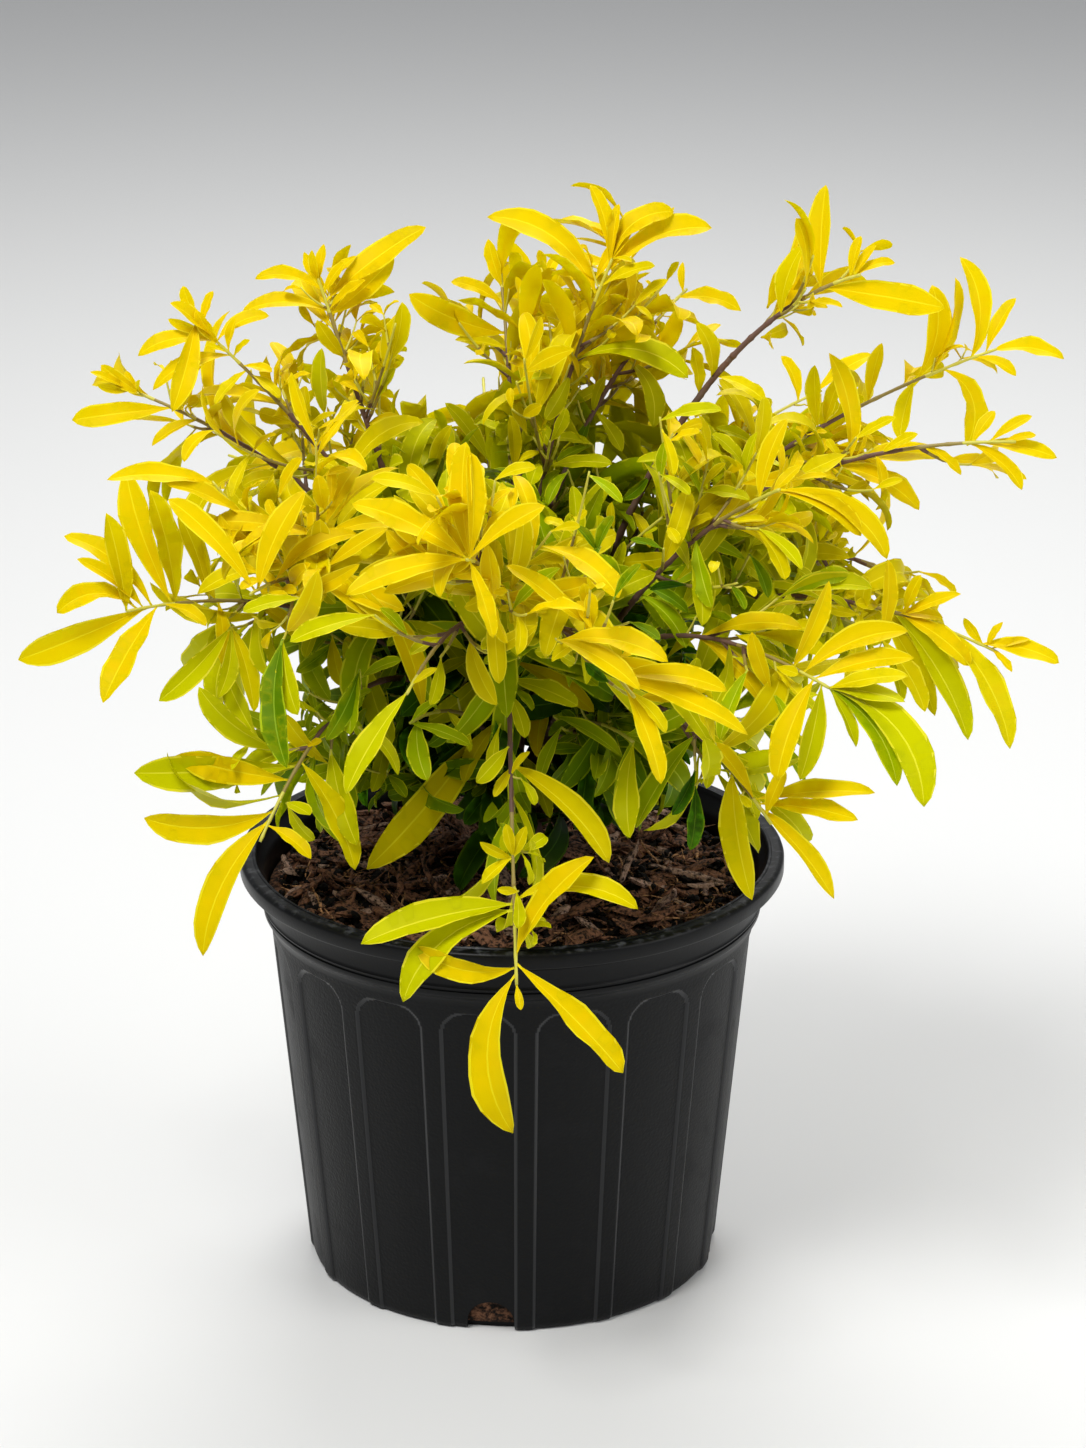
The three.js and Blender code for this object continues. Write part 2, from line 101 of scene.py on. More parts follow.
# A limb: its curve, from where to where along it the limb runs, its mass, its number there or for a spur its
# spray, its radii, how large its youngest leaves are, its first pair's turn and what kind of limb it is
Axis = namedtuple("Axis", "curve start end mass twig radii young_share turn kind")

# Each shoot: the limb it springs from, how far along that, the tip's azimuth, reach and height, the arch,
# the bare share, its side twigs, the size of its tip leaves and, where it matters, its first pair's turn
SHOOTS = {
    "left": Shoot("stem", 0.45, 200, 200, 375, 60, 0.42, 3, 0.8, 80),
    "top": Shoot("stem", 0.98, 11, 51, 532, 30, 0.46, 2, 0.4),
    "right": Shoot("stem", 0.55, 353, 245, 340, 85, 0.5, 2, 0.6),
    "front_droop": Shoot("stem", 0.7, 271, 188, 228, 165, 0.5, 1, 0.95, 90),
    "right_high": Shoot("stem", 0.85, 7, 245, 480, 25, 0.52, 2, 0.6),
    "left_high": Shoot("stem", 0.9, 184, 155, 505, 25, 0.5, 2, 0.4),
    "back": Shoot("stem", 0.75, 95, 185, 420, 50, 0.45, 3, 0.4),
    "front_right": Shoot("stem", 0.6, 318, 205, 360, 70, 0.46, 2, 0.7),
    "back_left": Shoot("stem", 0.5, 140, 195, 395, 55, 0.45, 3, 0.4),
    "back_right": Shoot("stem", 0.65, 38, 205, 430, 45, 0.45, 3, 0.4),
    "left_front": Shoot("left", 0.32, 230, 190, 410, 40, 0.4, 3, 0.6),
    "low_left": Shoot("left", 0.22, 225, 172, 275, 55, 0.42, 1, 0.95, 70),
    "left_upper": Shoot("left_high", 0.24, 172, 200, 462, 25, 0.4, 2, 0.4),
    "top_left": Shoot("left_high", 0.36, 168, 98, 520, 20, 0.35, 2, 0.4),
    "long_right": Shoot("right_high", 0.18, 353, 172, 532, 90, 0.62, 1, 0.7),
    "right_mid": Shoot("right_high", 0.42, 353, 250, 450, 15, 0.4, 1, 0.5),
    "right_front": Shoot("front_right", 0.3, 320, 168, 450, 30, 0.4, 2, 0.4),
    "low_right": Shoot("front_right", 0.12, 310, 195, 295, 50, 0.45, 1, 0.9, 70),
    "right_back_low": Shoot("right", 0.35, 20, 235, 330, 50, 0.42, 2, 0.4),
    "top_back_left": Shoot("top", 0.2, 94, 90, 510, 15, 0.35, 2, 0.4),
    "top_back_right": Shoot("top", 0.34, 50, 140, 490, 20, 0.4, 2, 0.4),
    "front_left": Shoot("front_droop", 0.2, 255, 185, 372, 50, 0.4, 2, 0.7),
    "front_centre": Shoot("front_droop", 0.3, 264, 185, 440, 25, 0.4, 2, 0.6),
    "front_mid_right": Shoot("front_droop", 0.36, 287, 200, 375, 40, 0.4, 2, 0.6),
}
# Short shoots on the main stem: how far up it, the tip's azimuth, reach and height, and the arch
INNER_SHOOTS = {
    "inner_left": (0.3, 205, 120, 300, 30),
    "inner_front_left": (0.4, 245, 115, 330, 35),
    "inner_front_right": (0.45, 300, 120, 320, 35),
    "inner_right": (0.3, 350, 125, 300, 30),
    "inner_back_right": (0.4, 55, 125, 320, 35),
    "inner_back": (0.35, 110, 130, 310, 35),
    "inner_upper": (0.9, 250, 70, 400, 20),
    "inner_upper_right": (0.95, 340, 80, 410, 20),
}
INNER_TWIGS = 1
INNER_YOUNG_SHARE = 0.6
MASSES = list(SHOOTS) + list(INNER_SHOOTS)
# Leaves that show clearly in the photograph, by shoot. The columns are: how far back from the shoot's tip
# the leaf springs, in mm; where its own tip shows in the photograph, in pixels from the left and from the
# top of 1086 x 1448; how much nearer the viewer its tip is than its root, in mm; how far it bends, in
# degrees, above 0 where it arches to the left of its way; and its tint, 0 unless it is given.
LEADING_LEAVES = {
    "left": ((10, 18, 660, 0, 2), (15, 103, 703, 25, -5), (5, 57, 613, 10, -95), (12, 64, 536, 0, -42),
             (8, 77, 559, 10, -20), (22, 126, 471, 0, 12), (18, 206, 626, 15, 30), (45, 222, 665, 10, 15),
             (62, 302, 642, 10, 25)),
    "low_left": ((32, 134, 773, 0, 2, 2), (25, 175, 756, 0, 6), (12, 144, 818, 0, 45),
                 (8, 203, 956, 0, -35), (6, 311, 859, 10, 20), (34, 355, 870, 0, 20, 1)),
    "front_droop": ((3, 513, 1133, 0, -74), (6, 623, 1073, 0, 2), (5, 416, 947, 0, 58),
                    (8, 594, 857, 10, 30), (25, 638, 909, 10, 60, 1), (24, 361, 944, 10, -12, 2),
                    (22, 403, 1002, 5, -62, 2), (78, 609, 863, 0, 25, 1), (170, 594, 712, 0, 12)),
    "front_mid_right": ((8, 661, 784, 10, 12), (12, 748, 735, 0, 15), (15, 727, 691, 0, 25),
                        (4, 666, 733, 0, 15, 1)),
    "inner_front_right": ((2, 628, 838, 0, -10, 3),),
    "front_right": ((8, 914, 658, 0, 20), (14, 908, 631, 0, 35), (8, 777, 780, 10, -15),
                    (20, 829, 581, 0, -8), (4, 800, 780, 0, 5, 2), (1, 870, 720, 0, 25, 1)),
    "right": ((8, 1059, 663, 0, 25), (22, 1010, 749, 0, 28, 1), (6, 964, 618, 0, 5), (5, 1003, 622, 0, 5),
              (3, 1030, 639, 0, 5), (3, 1012, 672, 5, 5), (48, 968, 740, 0, 20, 2), (55, 935, 716, 0, 12, 1),
              (45, 970, 666, 5, 20), (48, 943, 618, 0, 5)),
    "low_right": ((12, 875, 793, 0, 10), (10, 858, 820, 0, 10), (8, 834, 899, 0, 10),
                  (28, 752, 900, 0, -10, 1), (12, 712, 743, 0, -12), (4, 785, 770, 0, 5),
                  (55, 636, 828, 0, -10, 3)),
    "right_mid": ((18, 1057, 458, 0, 15), (22, 1022, 490, 0, 35), (12, 1032, 416, 0, 5), (6, 1036, 435, 0, 5),
                  (20, 995, 411, 0, 5), (42, 961, 475, 0, 20), (80, 942, 456, 0, 18), (90, 919, 510, 0, 35),
                  (80, 829, 353, 0, -30)),
    "right_high": ((2, 1064, 359, 0, 35), (12, 960, 257, 0, -58), (5, 1016, 298, 0, 10),
                   (10, 1016, 376, 5, 35), (25, 967, 446, 0, 110), (38, 932, 285, 0, -55),
                   (62, 882, 343, 0, 5)),
    "long_right": ((31, 826, 185, 0, 4), (28, 945, 308, 0, 0), (8, 861, 236, 0, 5),
                   (5, 876, 245, 0, 10), (4, 895, 263, 0, 45)),
    "top": ((4, 590, 185, 0, -25), (2, 674, 212, 0, 85), (8, 712, 228, 0, 45), (22, 487, 217, 0, -68),
            (1, 619, 204, 0, 5), (1, 636, 218, 0, 5), (58, 688, 378, 15, 70, 2)),
    "top_left": ((14, 426, 227, 0, 8), (8, 255, 279, 0, -50), (20, 242, 313, 0, -45), (2, 324, 244, 0, 5),
                 (4, 304, 252, 0, 5), (22, 394, 256, 0, -12), (8, 357, 256, 0, 20)),
    "left_high": ((2, 183, 286, 0, 5), (4, 213, 291, 0, 5), (8, 168, 319, 0, 5), (14, 138, 356, 0, -50),
                  (24, 153, 390, 0, -45), (14, 269, 316, 0, 50)),
    "left_upper": ((30, 72, 420, 0, 0), (14, 101, 365, 0, 5), (12, 126, 371, 0, 5), (8, 97, 385, 0, 5),
                   (44, 152, 446, 0, -20)),
    "top_back_left": ((15, 488, 239, 0, 5), (25, 451, 282, 0, -30), (40, 409, 294, 0, 25),
                      (48, 455, 340, 0, -10, 1)),
    "top_back_right": ((8, 741, 311, 0, 40), (3, 683, 262, 0, 5), (58, 653, 428, 15, 60, 2)),
    "right_front": ((4, 861, 536, 0, 50), (1, 887, 559, -10, 60), (15, 787, 419, 0, 20), (5, 800, 466, 0, 5)),
    "back_right": ((15, 781, 356, 0, -35), (4, 873, 355, 0, 20)),
    "left_front": ((8, 305, 491, 0, 20), (25, 357, 534, 0, 45), (5, 168, 499, 0, -15)),
    "front_centre": ((4, 545, 506, 5, 15), (10, 466, 442, 0, 15), (8, 470, 452, 0, -10),
                     (4, 352, 504, 0, -20), (2, 346, 595, 5, -22), (6, 493, 638, 5, 5)),
    "front_left": ((2, 346, 794, 5, -10, 2), (6, 437, 668, 0, 5, 1)),
}
# More leaves that show in the photograph, each by where its root and its tip show there, in pixels from the
# left and from the top, its bend and its tint as above. It springs from the limb that shows there.
SEEN_LEAVES = (
    # upper left
    (216, 352, 170, 303, -12), (222, 356, 196, 310, 8), (228, 362, 236, 318, 12), (320, 292, 312, 250, 5),
    (330, 300, 345, 262, 8), (338, 312, 366, 280, 10), (105, 405, 90, 372, -5), (118, 412, 140, 380, 10, 1),
    (408, 385, 402, 302, -15, 1), (345, 370, 317, 320, 10, 1), (322, 425, 322, 348, 8, 2),
    (378, 412, 396, 368, 10, 2), (212, 413, 184, 462, -45), (345, 440, 249, 473, -35),
    (262, 450, 232, 498, -15, 1), (352, 442, 371, 422, 15), (378, 430, 401, 418, 25),
    (258, 525, 166, 484, -20), (278, 505, 302, 458, 10), (415, 478, 338, 528, -35, 1),
    (440, 500, 371, 479, -20, 1), (425, 478, 452, 425, 30, 1), (495, 452, 445, 403, -10, 2),
    (515, 395, 552, 378, 30, 2), (225, 487, 107, 480, -20), (232, 372, 250, 340, 10, 1),
    (238, 385, 272, 372, 15), (228, 362, 205, 345, -10, 1), (242, 395, 215, 405, -15, 1),
    (246, 402, 280, 398, 15, 1), (176, 357, 172, 412, 5), (185, 590, 150, 490, -10, 1),
    (215, 595, 178, 512, -10, 1), (222, 600, 202, 540, 10, 1), (125, 562, 106, 513, -5, 1),
    (399, 392, 395, 318, 10, 1),
    # top
    (771, 321, 803, 246, 25, 1), (600, 296, 655, 266, 18, 1), (655, 285, 679, 262, 10, 1),
    (640, 300, 668, 280, 12, 1), (625, 312, 652, 320, 12, 1), (560, 330, 600, 300, 15, 1),
    (600, 250, 632, 262, 15, 1),
    # front, left of the drooping shoot
    (500, 585, 524, 512, -10, 1), (370, 585, 424, 618, 15, 3), (470, 662, 396, 625, -15, 2),
    (330, 625, 305, 658, -10, 2), (345, 632, 343, 686, -15, 1), (375, 655, 392, 745, -10, 2),
    (472, 628, 497, 705, -20, 1), (480, 668, 437, 678, -20, 2), (487, 672, 428, 722, 25, 2),
    (372, 722, 398, 775, 40, 2), (495, 728, 464, 702, 20, 2), (497, 728, 464, 783, -20, 1),
    (540, 695, 537, 757, -10), (515, 685, 525, 738, 10, 2), (527, 760, 550, 818, 10, 2),
    (345, 690, 305, 740, 15, 3), (335, 680, 350, 735, -10, 3), (492, 738, 361, 876, 8, 1),
    (430, 706, 393, 618, -15), (396, 722, 374, 655, 10, 2), (376, 612, 290, 642, -10, 2),
    (300, 600, 243, 612, -10, 2), (355, 668, 326, 740, 15, 4), (372, 640, 343, 646, -10, 1),
    (340, 655, 296, 672, 15, 4), (420, 720, 470, 745, 10, 3), (388, 700, 345, 640, 15, 2),
    (452, 660, 430, 705, 10, 2), (470, 690, 442, 640, -15, 2), (455, 640, 410, 655, -15, 2),
    (360, 690, 402, 660, 15, 3), (395, 650, 380, 700, -10, 3), (330, 700, 372, 690, 15, 3),
    (395, 735, 372, 792, 12, 2), (450, 700, 470, 752, 12, 2), (540, 770, 520, 720, -12, 3),
    (560, 720, 540, 780, -12, 3), (590, 690, 600, 740, 10, 3), (420, 640, 380, 608, -15, 3),
    (310, 640, 330, 700, -12, 3), (440, 610, 480, 640, 15, 2), (410, 735, 440, 700, 10, 3),
    # low left
    (238, 648, 159, 701, 12, 2), (251, 706, 232, 770, -10, 2), (246, 640, 254, 712, 12, 1),
    (276, 652, 287, 768, -30, 4), (316, 770, 283, 713, 20, 1), (338, 742, 357, 845, -10, 2),
    (296, 742, 322, 741, 15), (228, 665, 218, 698, 30, 2), (275, 640, 298, 715, -15, 2),
    # front, right of the drooping shoot
    (505, 615, 517, 655, 30, 1), (570, 640, 668, 662, 35), (560, 650, 640, 690, 20),
    (550, 705, 622, 757, 15, 3), (590, 720, 560, 790, 15, 4), (690, 548, 712, 608, -10, 3),
    (718, 545, 735, 608, 25, 3), (745, 560, 768, 598, 15, 4), (690, 640, 802, 628, 30),
    (630, 600, 686, 648, 35, 3), (760, 690, 752, 632, 5), (765, 690, 789, 728, 10, 3),
    (735, 690, 720, 740, -10, 3), (832, 712, 856, 747, 10, 2), (600, 760, 575, 830, 10, 5),
    (660, 790, 690, 850, 10, 5), (628, 750, 630, 838, -15, 2), (690, 760, 672, 815, 10, 5),
    (518, 672, 578, 706, 10, 2), (685, 652, 765, 707, 20), (672, 662, 702, 632, 8),
    (650, 712, 645, 744, 8, 3), (655, 745, 690, 765, 10, 5), (630, 612, 660, 640, 15, 4),
    (665, 605, 688, 642, 15, 3), (640, 655, 655, 632, 5, 2), (600, 680, 585, 662, 10, 5),
    (580, 742, 546, 752, -10, 4),
    # right of the middle
    (597, 430, 553, 438, -15, 2), (592, 436, 557, 462, -15, 3), (622, 422, 578, 456, -10, 4),
    (672, 482, 666, 440, 5, 3), (745, 482, 712, 434, -20, 2), (737, 482, 757, 432, 10, 2),
    (697, 506, 682, 462, -12, 3), (560, 516, 590, 492, 35, 3), (598, 482, 622, 503, 15, 3),
    (605, 562, 614, 516, 20, 4), (640, 541, 658, 528, 8, 2), (718, 526, 765, 520, 8, 1),
    (690, 557, 687, 528, 8, 3), (690, 557, 702, 626, 15, 2), (755, 540, 802, 570, 20, 2),
    (620, 596, 641, 564, 15, 4), (640, 596, 688, 613, 20, 4), (786, 592, 850, 574, 12, 3),
    (700, 505, 750, 500, 25, 2), (585, 402, 606, 376, 20, 2), (640, 470, 622, 500, 20, 4),
    (660, 560, 630, 540, -10, 4), (735, 560, 700, 540, -10, 3), (575, 480, 548, 505, -25, 3),
    (650, 600, 600, 620, -10, 4), (590, 560, 575, 525, -10, 4), (560, 380, 545, 420, 10, 2),
    (600, 545, 570, 575, 10, 4), (720, 580, 745, 610, 15, 4), (680, 575, 650, 590, -12, 5),
    (610, 470, 580, 478, -15, 4), (628, 398, 573, 405, -15, 2), (623, 418, 622, 452, 5, 2),
    (550, 478, 612, 464, 15, 2), (542, 450, 566, 408, -15, 2), (660, 438, 673, 476, 10, 1),
    (625, 525, 612, 502, 15, 1), (640, 520, 655, 505, 15, 1), (640, 515, 650, 548, 15, 1),
    (612, 515, 602, 560, 10, 3), (652, 482, 690, 495, 20, 2), (700, 500, 726, 463, 10, 1),
    (755, 455, 764, 396, -5, 1), (660, 432, 722, 410, 15, 2), (770, 440, 716, 428, -10, 2),
    (718, 398, 696, 323, -40, 1), (693, 398, 692, 347, -10, 1), (722, 395, 766, 402, 25, 1),
    (503, 470, 510, 415, -5, 1), (506, 480, 536, 468, 30, 1), (508, 455, 540, 452, 15, 1),
    (525, 505, 560, 470, 20, 3), (540, 535, 580, 527, 15, 1), (530, 550, 619, 598, 40),
    (612, 573, 671, 557, -8, 1), (512, 600, 560, 568, 15, 3),
    # right
    (835, 700, 924, 807, 72, 2), (826, 706, 897, 786, 45, 3), (884, 640, 925, 712, 20, 1),
    (846, 702, 908, 676, 10, 1), (850, 712, 905, 702, 10, 2), (868, 650, 902, 702, 15, 2),
    (812, 425, 815, 365, 5, 1), (812, 412, 843, 374, 10, 1), (855, 450, 896, 417, 5, 1),
    (870, 448, 918, 434, 8, 1), (922, 385, 900, 440, -10, 1), (868, 460, 882, 492, 20),
    (865, 500, 903, 480, 5, 1), (790, 545, 850, 558, 15, 1), (752, 540, 785, 580, 25, 1),
    (778, 590, 872, 588, 25, 2), (905, 640, 888, 560, -10), (900, 618, 921, 575, 5), (900, 620, 961, 594, 8),
    # small leaves at the joints of the drooping shoot
    (516, 848, 480, 842, 20, 1), (516, 848, 506, 824, 0, 1), (516, 848, 526, 826, 0, 1),
    (516, 855, 482, 884, -15, 1), (505, 760, 494, 797, 0, 1), (505, 770, 530, 752, 15, 1),
    (520, 985, 521, 1010, 0),
)
# Openings of the crown, where the photograph shows no leaf: the middle of each, in pixels across and down,
# and its half width and half height
OPENINGS = (
    (448, 240, 36, 44), (433, 360, 22, 46), (455, 385, 15, 18), (330, 195, 112, 42), (228, 258, 26, 28),
    (290, 330, 34, 12), (110, 315, 52, 34), (160, 400, 13, 20), (100, 446, 62, 14), (222, 450, 13, 24),
    (70, 490, 42, 30), (150, 484, 16, 7), (306, 482, 7, 17), (405, 415, 11, 22), (560, 160, 190, 22),
    (700, 185, 40, 28), (722, 262, 24, 22), (740, 235, 46, 76), (900, 195, 66, 46), (925, 245, 25, 33),
    (1020, 240, 48, 60), (862, 328, 58, 15), (760, 370, 25, 17), (905, 345, 20, 22), (968, 318, 15, 25),
    (945, 415, 23, 33), (1040, 393, 46, 20), (1020, 552, 84, 52), (962, 515, 34, 24), (912, 537, 22, 17),
    (932, 490, 26, 22), (890, 405, 18, 16), (690, 398, 26, 15), (678, 340, 15, 14), (476, 385, 14, 28),
    (838, 252, 15, 22), (958, 612, 16, 11), (562, 205, 20, 15), (493, 385, 9, 20), (578, 957, 34, 15),
    (472, 1002, 14, 15), (452, 281, 24, 13), (372, 232, 9, 9), (255, 338, 14, 8), (798, 375, 22, 28),
    (785, 406, 18, 13), (862, 564, 16, 11), (880, 548, 18, 12), (925, 556, 36, 13), (968, 636, 13, 11),
    (664, 258, 16, 16), (195, 738, 36, 13), (172, 645, 22, 15), (190, 716, 26, 20), (786, 384, 16, 13),
    (820, 148, 140, 36), (430, 845, 46, 30), (640, 890, 62, 40), (300, 880, 52, 34), (705, 830, 24, 40),
    (60, 745, 70, 36), (150, 722, 40, 20), (110, 860, 60, 34), (990, 810, 60, 70), (890, 690, 14, 8),
    (855, 760, 30, 14), (850, 850, 36, 26), (975, 700, 15, 14), (1050, 590, 30, 40), (50, 410, 30, 50),
)
# The photograph's camera: what it looks at, how far away and how far down, in mm and degrees, and its frame
VIEW_TARGET = (15.9, 0.0, 290.8)
VIEW_DISTANCE = 2430.4
VIEW_DOWN = 20.363
VIEW_LENS = 118.76
SENSOR = 36.0
PHOTO = (1086, 1448)

# Radii in mm, at the root and at the tip: boughs from the main stem and from other boughs, shoots, side
# twigs and leafy spurs. A bough's are the solid's, and its mesh is slimmer than they say.
BOUGH_RADII = (3.9, 2.1)
CHILD_BOUGH_RADII = (2.9, 2.1)
SLIMNESS = 0.7
SHOOT_RADII = (1.45, 0.7)
TWIG_RADII = (0.95, 0.5)
SPUR_RADII = (0.7, 0.45)
# Side twigs: the length in mm of one at its shoot's root, how steeply it leaves and how far round from the
# last, in degrees, and where along the shoot twigs stand: from which share on, over how much, by which step
TWIG_LENGTH = 78
TWIG_ANGLE = 50
TWIG_TURN = 137.5
TWIG_FIRST = 0.06
TWIG_SPAN = 0.62
TWIG_STEP = 0.618
# Finer twigs than the solids': how many more there are on a shoot, on a short shoot inside and on a bough,
# and how long they are beside the solids' twigs
FINE_TWIGS = 8
INNER_FINE_TWIGS = 16
FINE_TWIG_SHARE = 0.55
BOUGH_TWIGS = 6
BOUGH_TWIG_SHARE = 0.62
# Boughs that the photograph shows bare
BARE_BOUGHS = ("long_right", "low_left", "right_front", "right_high")
# The numbers that a bough and its first twig have in the draws
BOUGH_NUMBER = 90
BOUGH_TWIG_NUMBER = 50
# How much nearer another mass's shoot may be than its own to a leaf or twig that stays
SPACE_GIVE = 1.2
# Pairs of leaves: their step on a twig beside a shoot's, how far in mm the first is from the tip and the last
# from the root, how much they close up towards the tip, and how far back what is young about them falls off
TWIG_STEP_SHARE = 0.85
TIP_GAP = 2.0
ROOT_GAP = 5
CLOSING_UP = 1.5
YOUNG_REACH = 20
# A leaf's angle with its twig, how much less it is for a young leaf, how much that and the turns about the
# twig vary, and the least bend and how much more it may be, in degrees
LEAF_ANGLE = 52
YOUNG_ANGLE = 24
ANGLE_SPREAD = 20
TURN_SPREAD = 24
BEND = (30, 80)
# What a leaf's face looks towards: how much along its twig, up, out of the crown and by chance
FACE_PULLS = (0.6, 0.5, 0.7, 1.3)
# The same for a leading leaf: how much out of its arch, towards the viewer and up
LEADING_PULLS = (0.45, 0.78, 0.22)
# Leafy spurs: in which share of the axils, on which share of a bough's, up to how young a leaf, and their
# least length and how much longer they may be, in mm
SPUR_SHARE = 0.42
BOUGH_SPUR_SHARE = 0.5
SPUR_YOUNG = 0.45
SPUR_LENGTH = (6, 15)
# At how many points a limb is searched, and how near it a leaf's root lies, in mm, that springs from it
LIMB_STEPS = 48
ON_LIMB = 0.5
# A twig with fewer leaves is left out
TWIG_LEAST_LEAVES = 3
# How near in the photograph a limb shows to a seen leaf's root that may carry it, in pixels: this much more
# than the nearest limb, or the second number where that is more
SEEN_SLACK = (5, 12)
# How much nearer the viewer a seen leaf's tip is than its root: in mm for each pixel of its length, and at
# most. How large such a leaf and a leading leaf may be beside a full leaf.
SEEN_RISE = 0.2
SEEN_MOST_RISE = 20
LEADING_MOST_SIZE = 1.5
# How near other leaves come to these, in mm along a limb, and in pixels before one in the photograph
LEADING_ROOM = 3.6
SIGHT_ROOM = 8.0
# The shares of a leaf's length that are tried for room, how near in mm they come to a limb, how much less
# room a leading leaf needs, and within what distance in mm a leaf is compared with another at all
TRIED = (0.3, 0.5, 0.75, 1.0)
LIMB_ROOM = 3.0
LEADING_EASE = 0.25
COMPARED = 60
# The reach and height of the soil's edge, the reaches of the pot's wall, the height that clears its lip, and
# the least height over the ground, in mm, for leaves and twigs
SOIL_EDGE = (131, SOIL_TOP + 3)
WALL_REACHES = (120, 143)
LIP_CLEAR = 226.5
GROUND_CLEAR = 3
# The light on the crown: how far outwards it slants, and how far out in mm it does so in full, between which
# distances in mm a leaf may shade another, and the cosine of half the angle that it may do so in
LIGHT_SLANT = 0.55
SLANT_REACH = 120
SHADE_FROM = 5
SHADE_REACH = 150
SHADE_CONE = 0.72
# How far out from the stem's head the leaves go from green to golden, in mm
GOLDEN_REACH = (95.0, 235.0)
# The tints of the leaves from the sunlit outside of the crown to its shaded inside, as 8-bit screen colours:
# the blade, its rib, its margin and its underside. The greener tints are partly the leaves' own colour in
# shade and partly painted shade, the darkest greens most of all.
TINTS = (
    ((230, 194, 0), (242, 218, 24), (248, 226, 20), (226, 193, 0)),
    ((220, 198, 0), (236, 220, 34), (246, 228, 26), (216, 196, 0)),
    ((192, 192, 0), (222, 218, 44), (236, 226, 28), (189, 190, 1)),
    ((145, 168, 1), (192, 204, 50), (212, 216, 24), (142, 165, 2)),
    ((86, 120, 2), (132, 162, 36), (150, 176, 16), (84, 117, 4)),
    ((28, 58, 3), (58, 92, 20), (52, 88, 8), (30, 60, 5)),
)
# How many of the leaves take each tint, from the best lit on
TINT_SHARES = (0.16, 0.18, 0.2, 0.2, 0.16, 0.1)
LEAF_PARTS = ("blade", "rib", "margin", "under")
PIECE_LEAVES = 950
# Where along a leaf its rows of points stand, from which size on it has the larger number of rows, and where
# across its upper side its points stand
LARGE_ROWS = np.array([0, 0.05, 0.12, 0.21, 0.31, 0.41, 0.51, 0.61, 0.71, 0.8, 0.88, 0.95, 1.0])
SMALL_ROWS = np.array([0, 0.1, 0.24, 0.4, 0.56, 0.71, 0.84, 0.94, 1.0])
LARGE_LEAF = 0.42
LEAF_COLUMNS = np.array([-1, -0.86, -0.05, 0.05, 0.86, 1])
# How far apart in mm the old joints stand on a bough, and how many pairs swell a shoot or twig at most
JOINT_STEP = 19.0
MOST_JOINTS = 14
# How much narrower in mm the potting mix is than the pot inside, and how far out in mm the mulch lies
BED_PLAY = 0.6
BED_REACH = 122
# Half the floor's side in metres, and the lamps: their places and widths in metres, and what they light
FLOOR_HALF = 20.0
LAMPS = {"key": ((-0.8, -1.2, 2.6), 1.1), "fill": ((2.0, -0.9, 1.3), 1.6), "back": ((0.2, 1.5, 2.1), 1.6)}
LIT_PLACE = (0.0, 0.0, 0.3)


def unit(vectors):
    """Vectors scaled to length one."""
    return vectors / np.maximum(np.linalg.norm(vectors, axis=-1, keepdims=True), 1e-9)


def smooth_step(low, high, values):
    """0 below low, 1 above high, and 3x^2 - 2x^3 between them."""
    x = np.clip((values - low) / (high - low), 0, 1)
    return x * x * (3 - 2 * x)


def draws(*keys):
    """The rule's fixed draws between 0 and 1 for whole numbers: multiply, shift and mix, on whole arrays.

    The last number of a call tells one kind of draw from the others.
    """
    keys = np.broadcast_arrays(*[np.asarray(key, dtype=np.uint64) for key in keys])
    mask, low, high = np.uint64(0xFFFFFFFF), np.uint64(13), np.uint64(16)
    h = np.full(keys[0].shape, 0x2545F491, dtype=np.uint64)
    for key in keys:
        h = ((h ^ (key + np.uint64(0x3C6EF372))) * np.uint64(0x85EBCA6B)) & mask
        h = h ^ (h >> low)
        h = (h * np.uint64(0xC2B2AE35)) & mask
        h = h ^ (h >> high)
    return h / 2.0 ** 32


def ripple(x, y, size, seed, waves=14):
    """An uneven field: the mean of plane sine waves in seeded directions, of lengths near size."""
    rng = np.random.default_rng(seed)
    angle, phase = rng.uniform(0, math.tau, (2, waves))
    number = math.tau / (size * rng.uniform(0.6, 1.7, waves))
    along = np.multiply.outer(x, np.cos(angle)) + np.multiply.outer(y, np.sin(angle))
    return np.sin(along * number + phase).mean(axis=-1) * math.sqrt(2)


# Growth rule


def place(azimuth, reach, height):
    """The point at an azimuth, a reach from the pot's axis and a height."""
    return np.array([reach * math.cos(azimuth * DEGREE), reach * math.sin(azimuth * DEGREE), height])


def on_curve(curve, t):
    """Points of a quadratic curve: (1-t)^2 a + 2t(1-t) b + t^2 c."""
    t = np.asarray(t, dtype=float)[..., None]
    return (1 - t) ** 2 * curve[..., 0, :] + 2 * t * (1 - t) * curve[..., 1, :] + t * t * curve[..., 2, :]


def speed(curve, t):
    """The curve's derivative: 2(1-t)(b - a) + 2t(c - b)."""
    t = np.asarray(t, dtype=float)[..., None]
    return 2 * (1 - t) * (curve[..., 1, :] - curve[..., 0, :]) + 2 * t * (curve[..., 2, :] - curve[..., 1, :])


def curve_length(curve):
    """A curve's length, as the sum of 64 chords."""
    points = on_curve(curve, np.linspace(0, 1, 65))
    return float(np.linalg.norm(np.diff(points, axis=0), axis=1).sum())


def outward(tangent, turn):
    """The direction square to a tangent at a turn about it, counted from its upper side."""
    side = np.cross(tangent, UP)
    steep = np.linalg.norm(side, axis=-1, keepdims=True) < 0.05
    level = np.array([1.0, 0.0, 0.0]) - tangent * tangent[..., :1]
    side = unit(np.where(steep, level, side))
    over = unit(np.cross(side, tangent))
    turn = np.asarray(turn, dtype=float)[..., None] * DEGREE
    return over * np.cos(turn) + side * np.sin(turn)


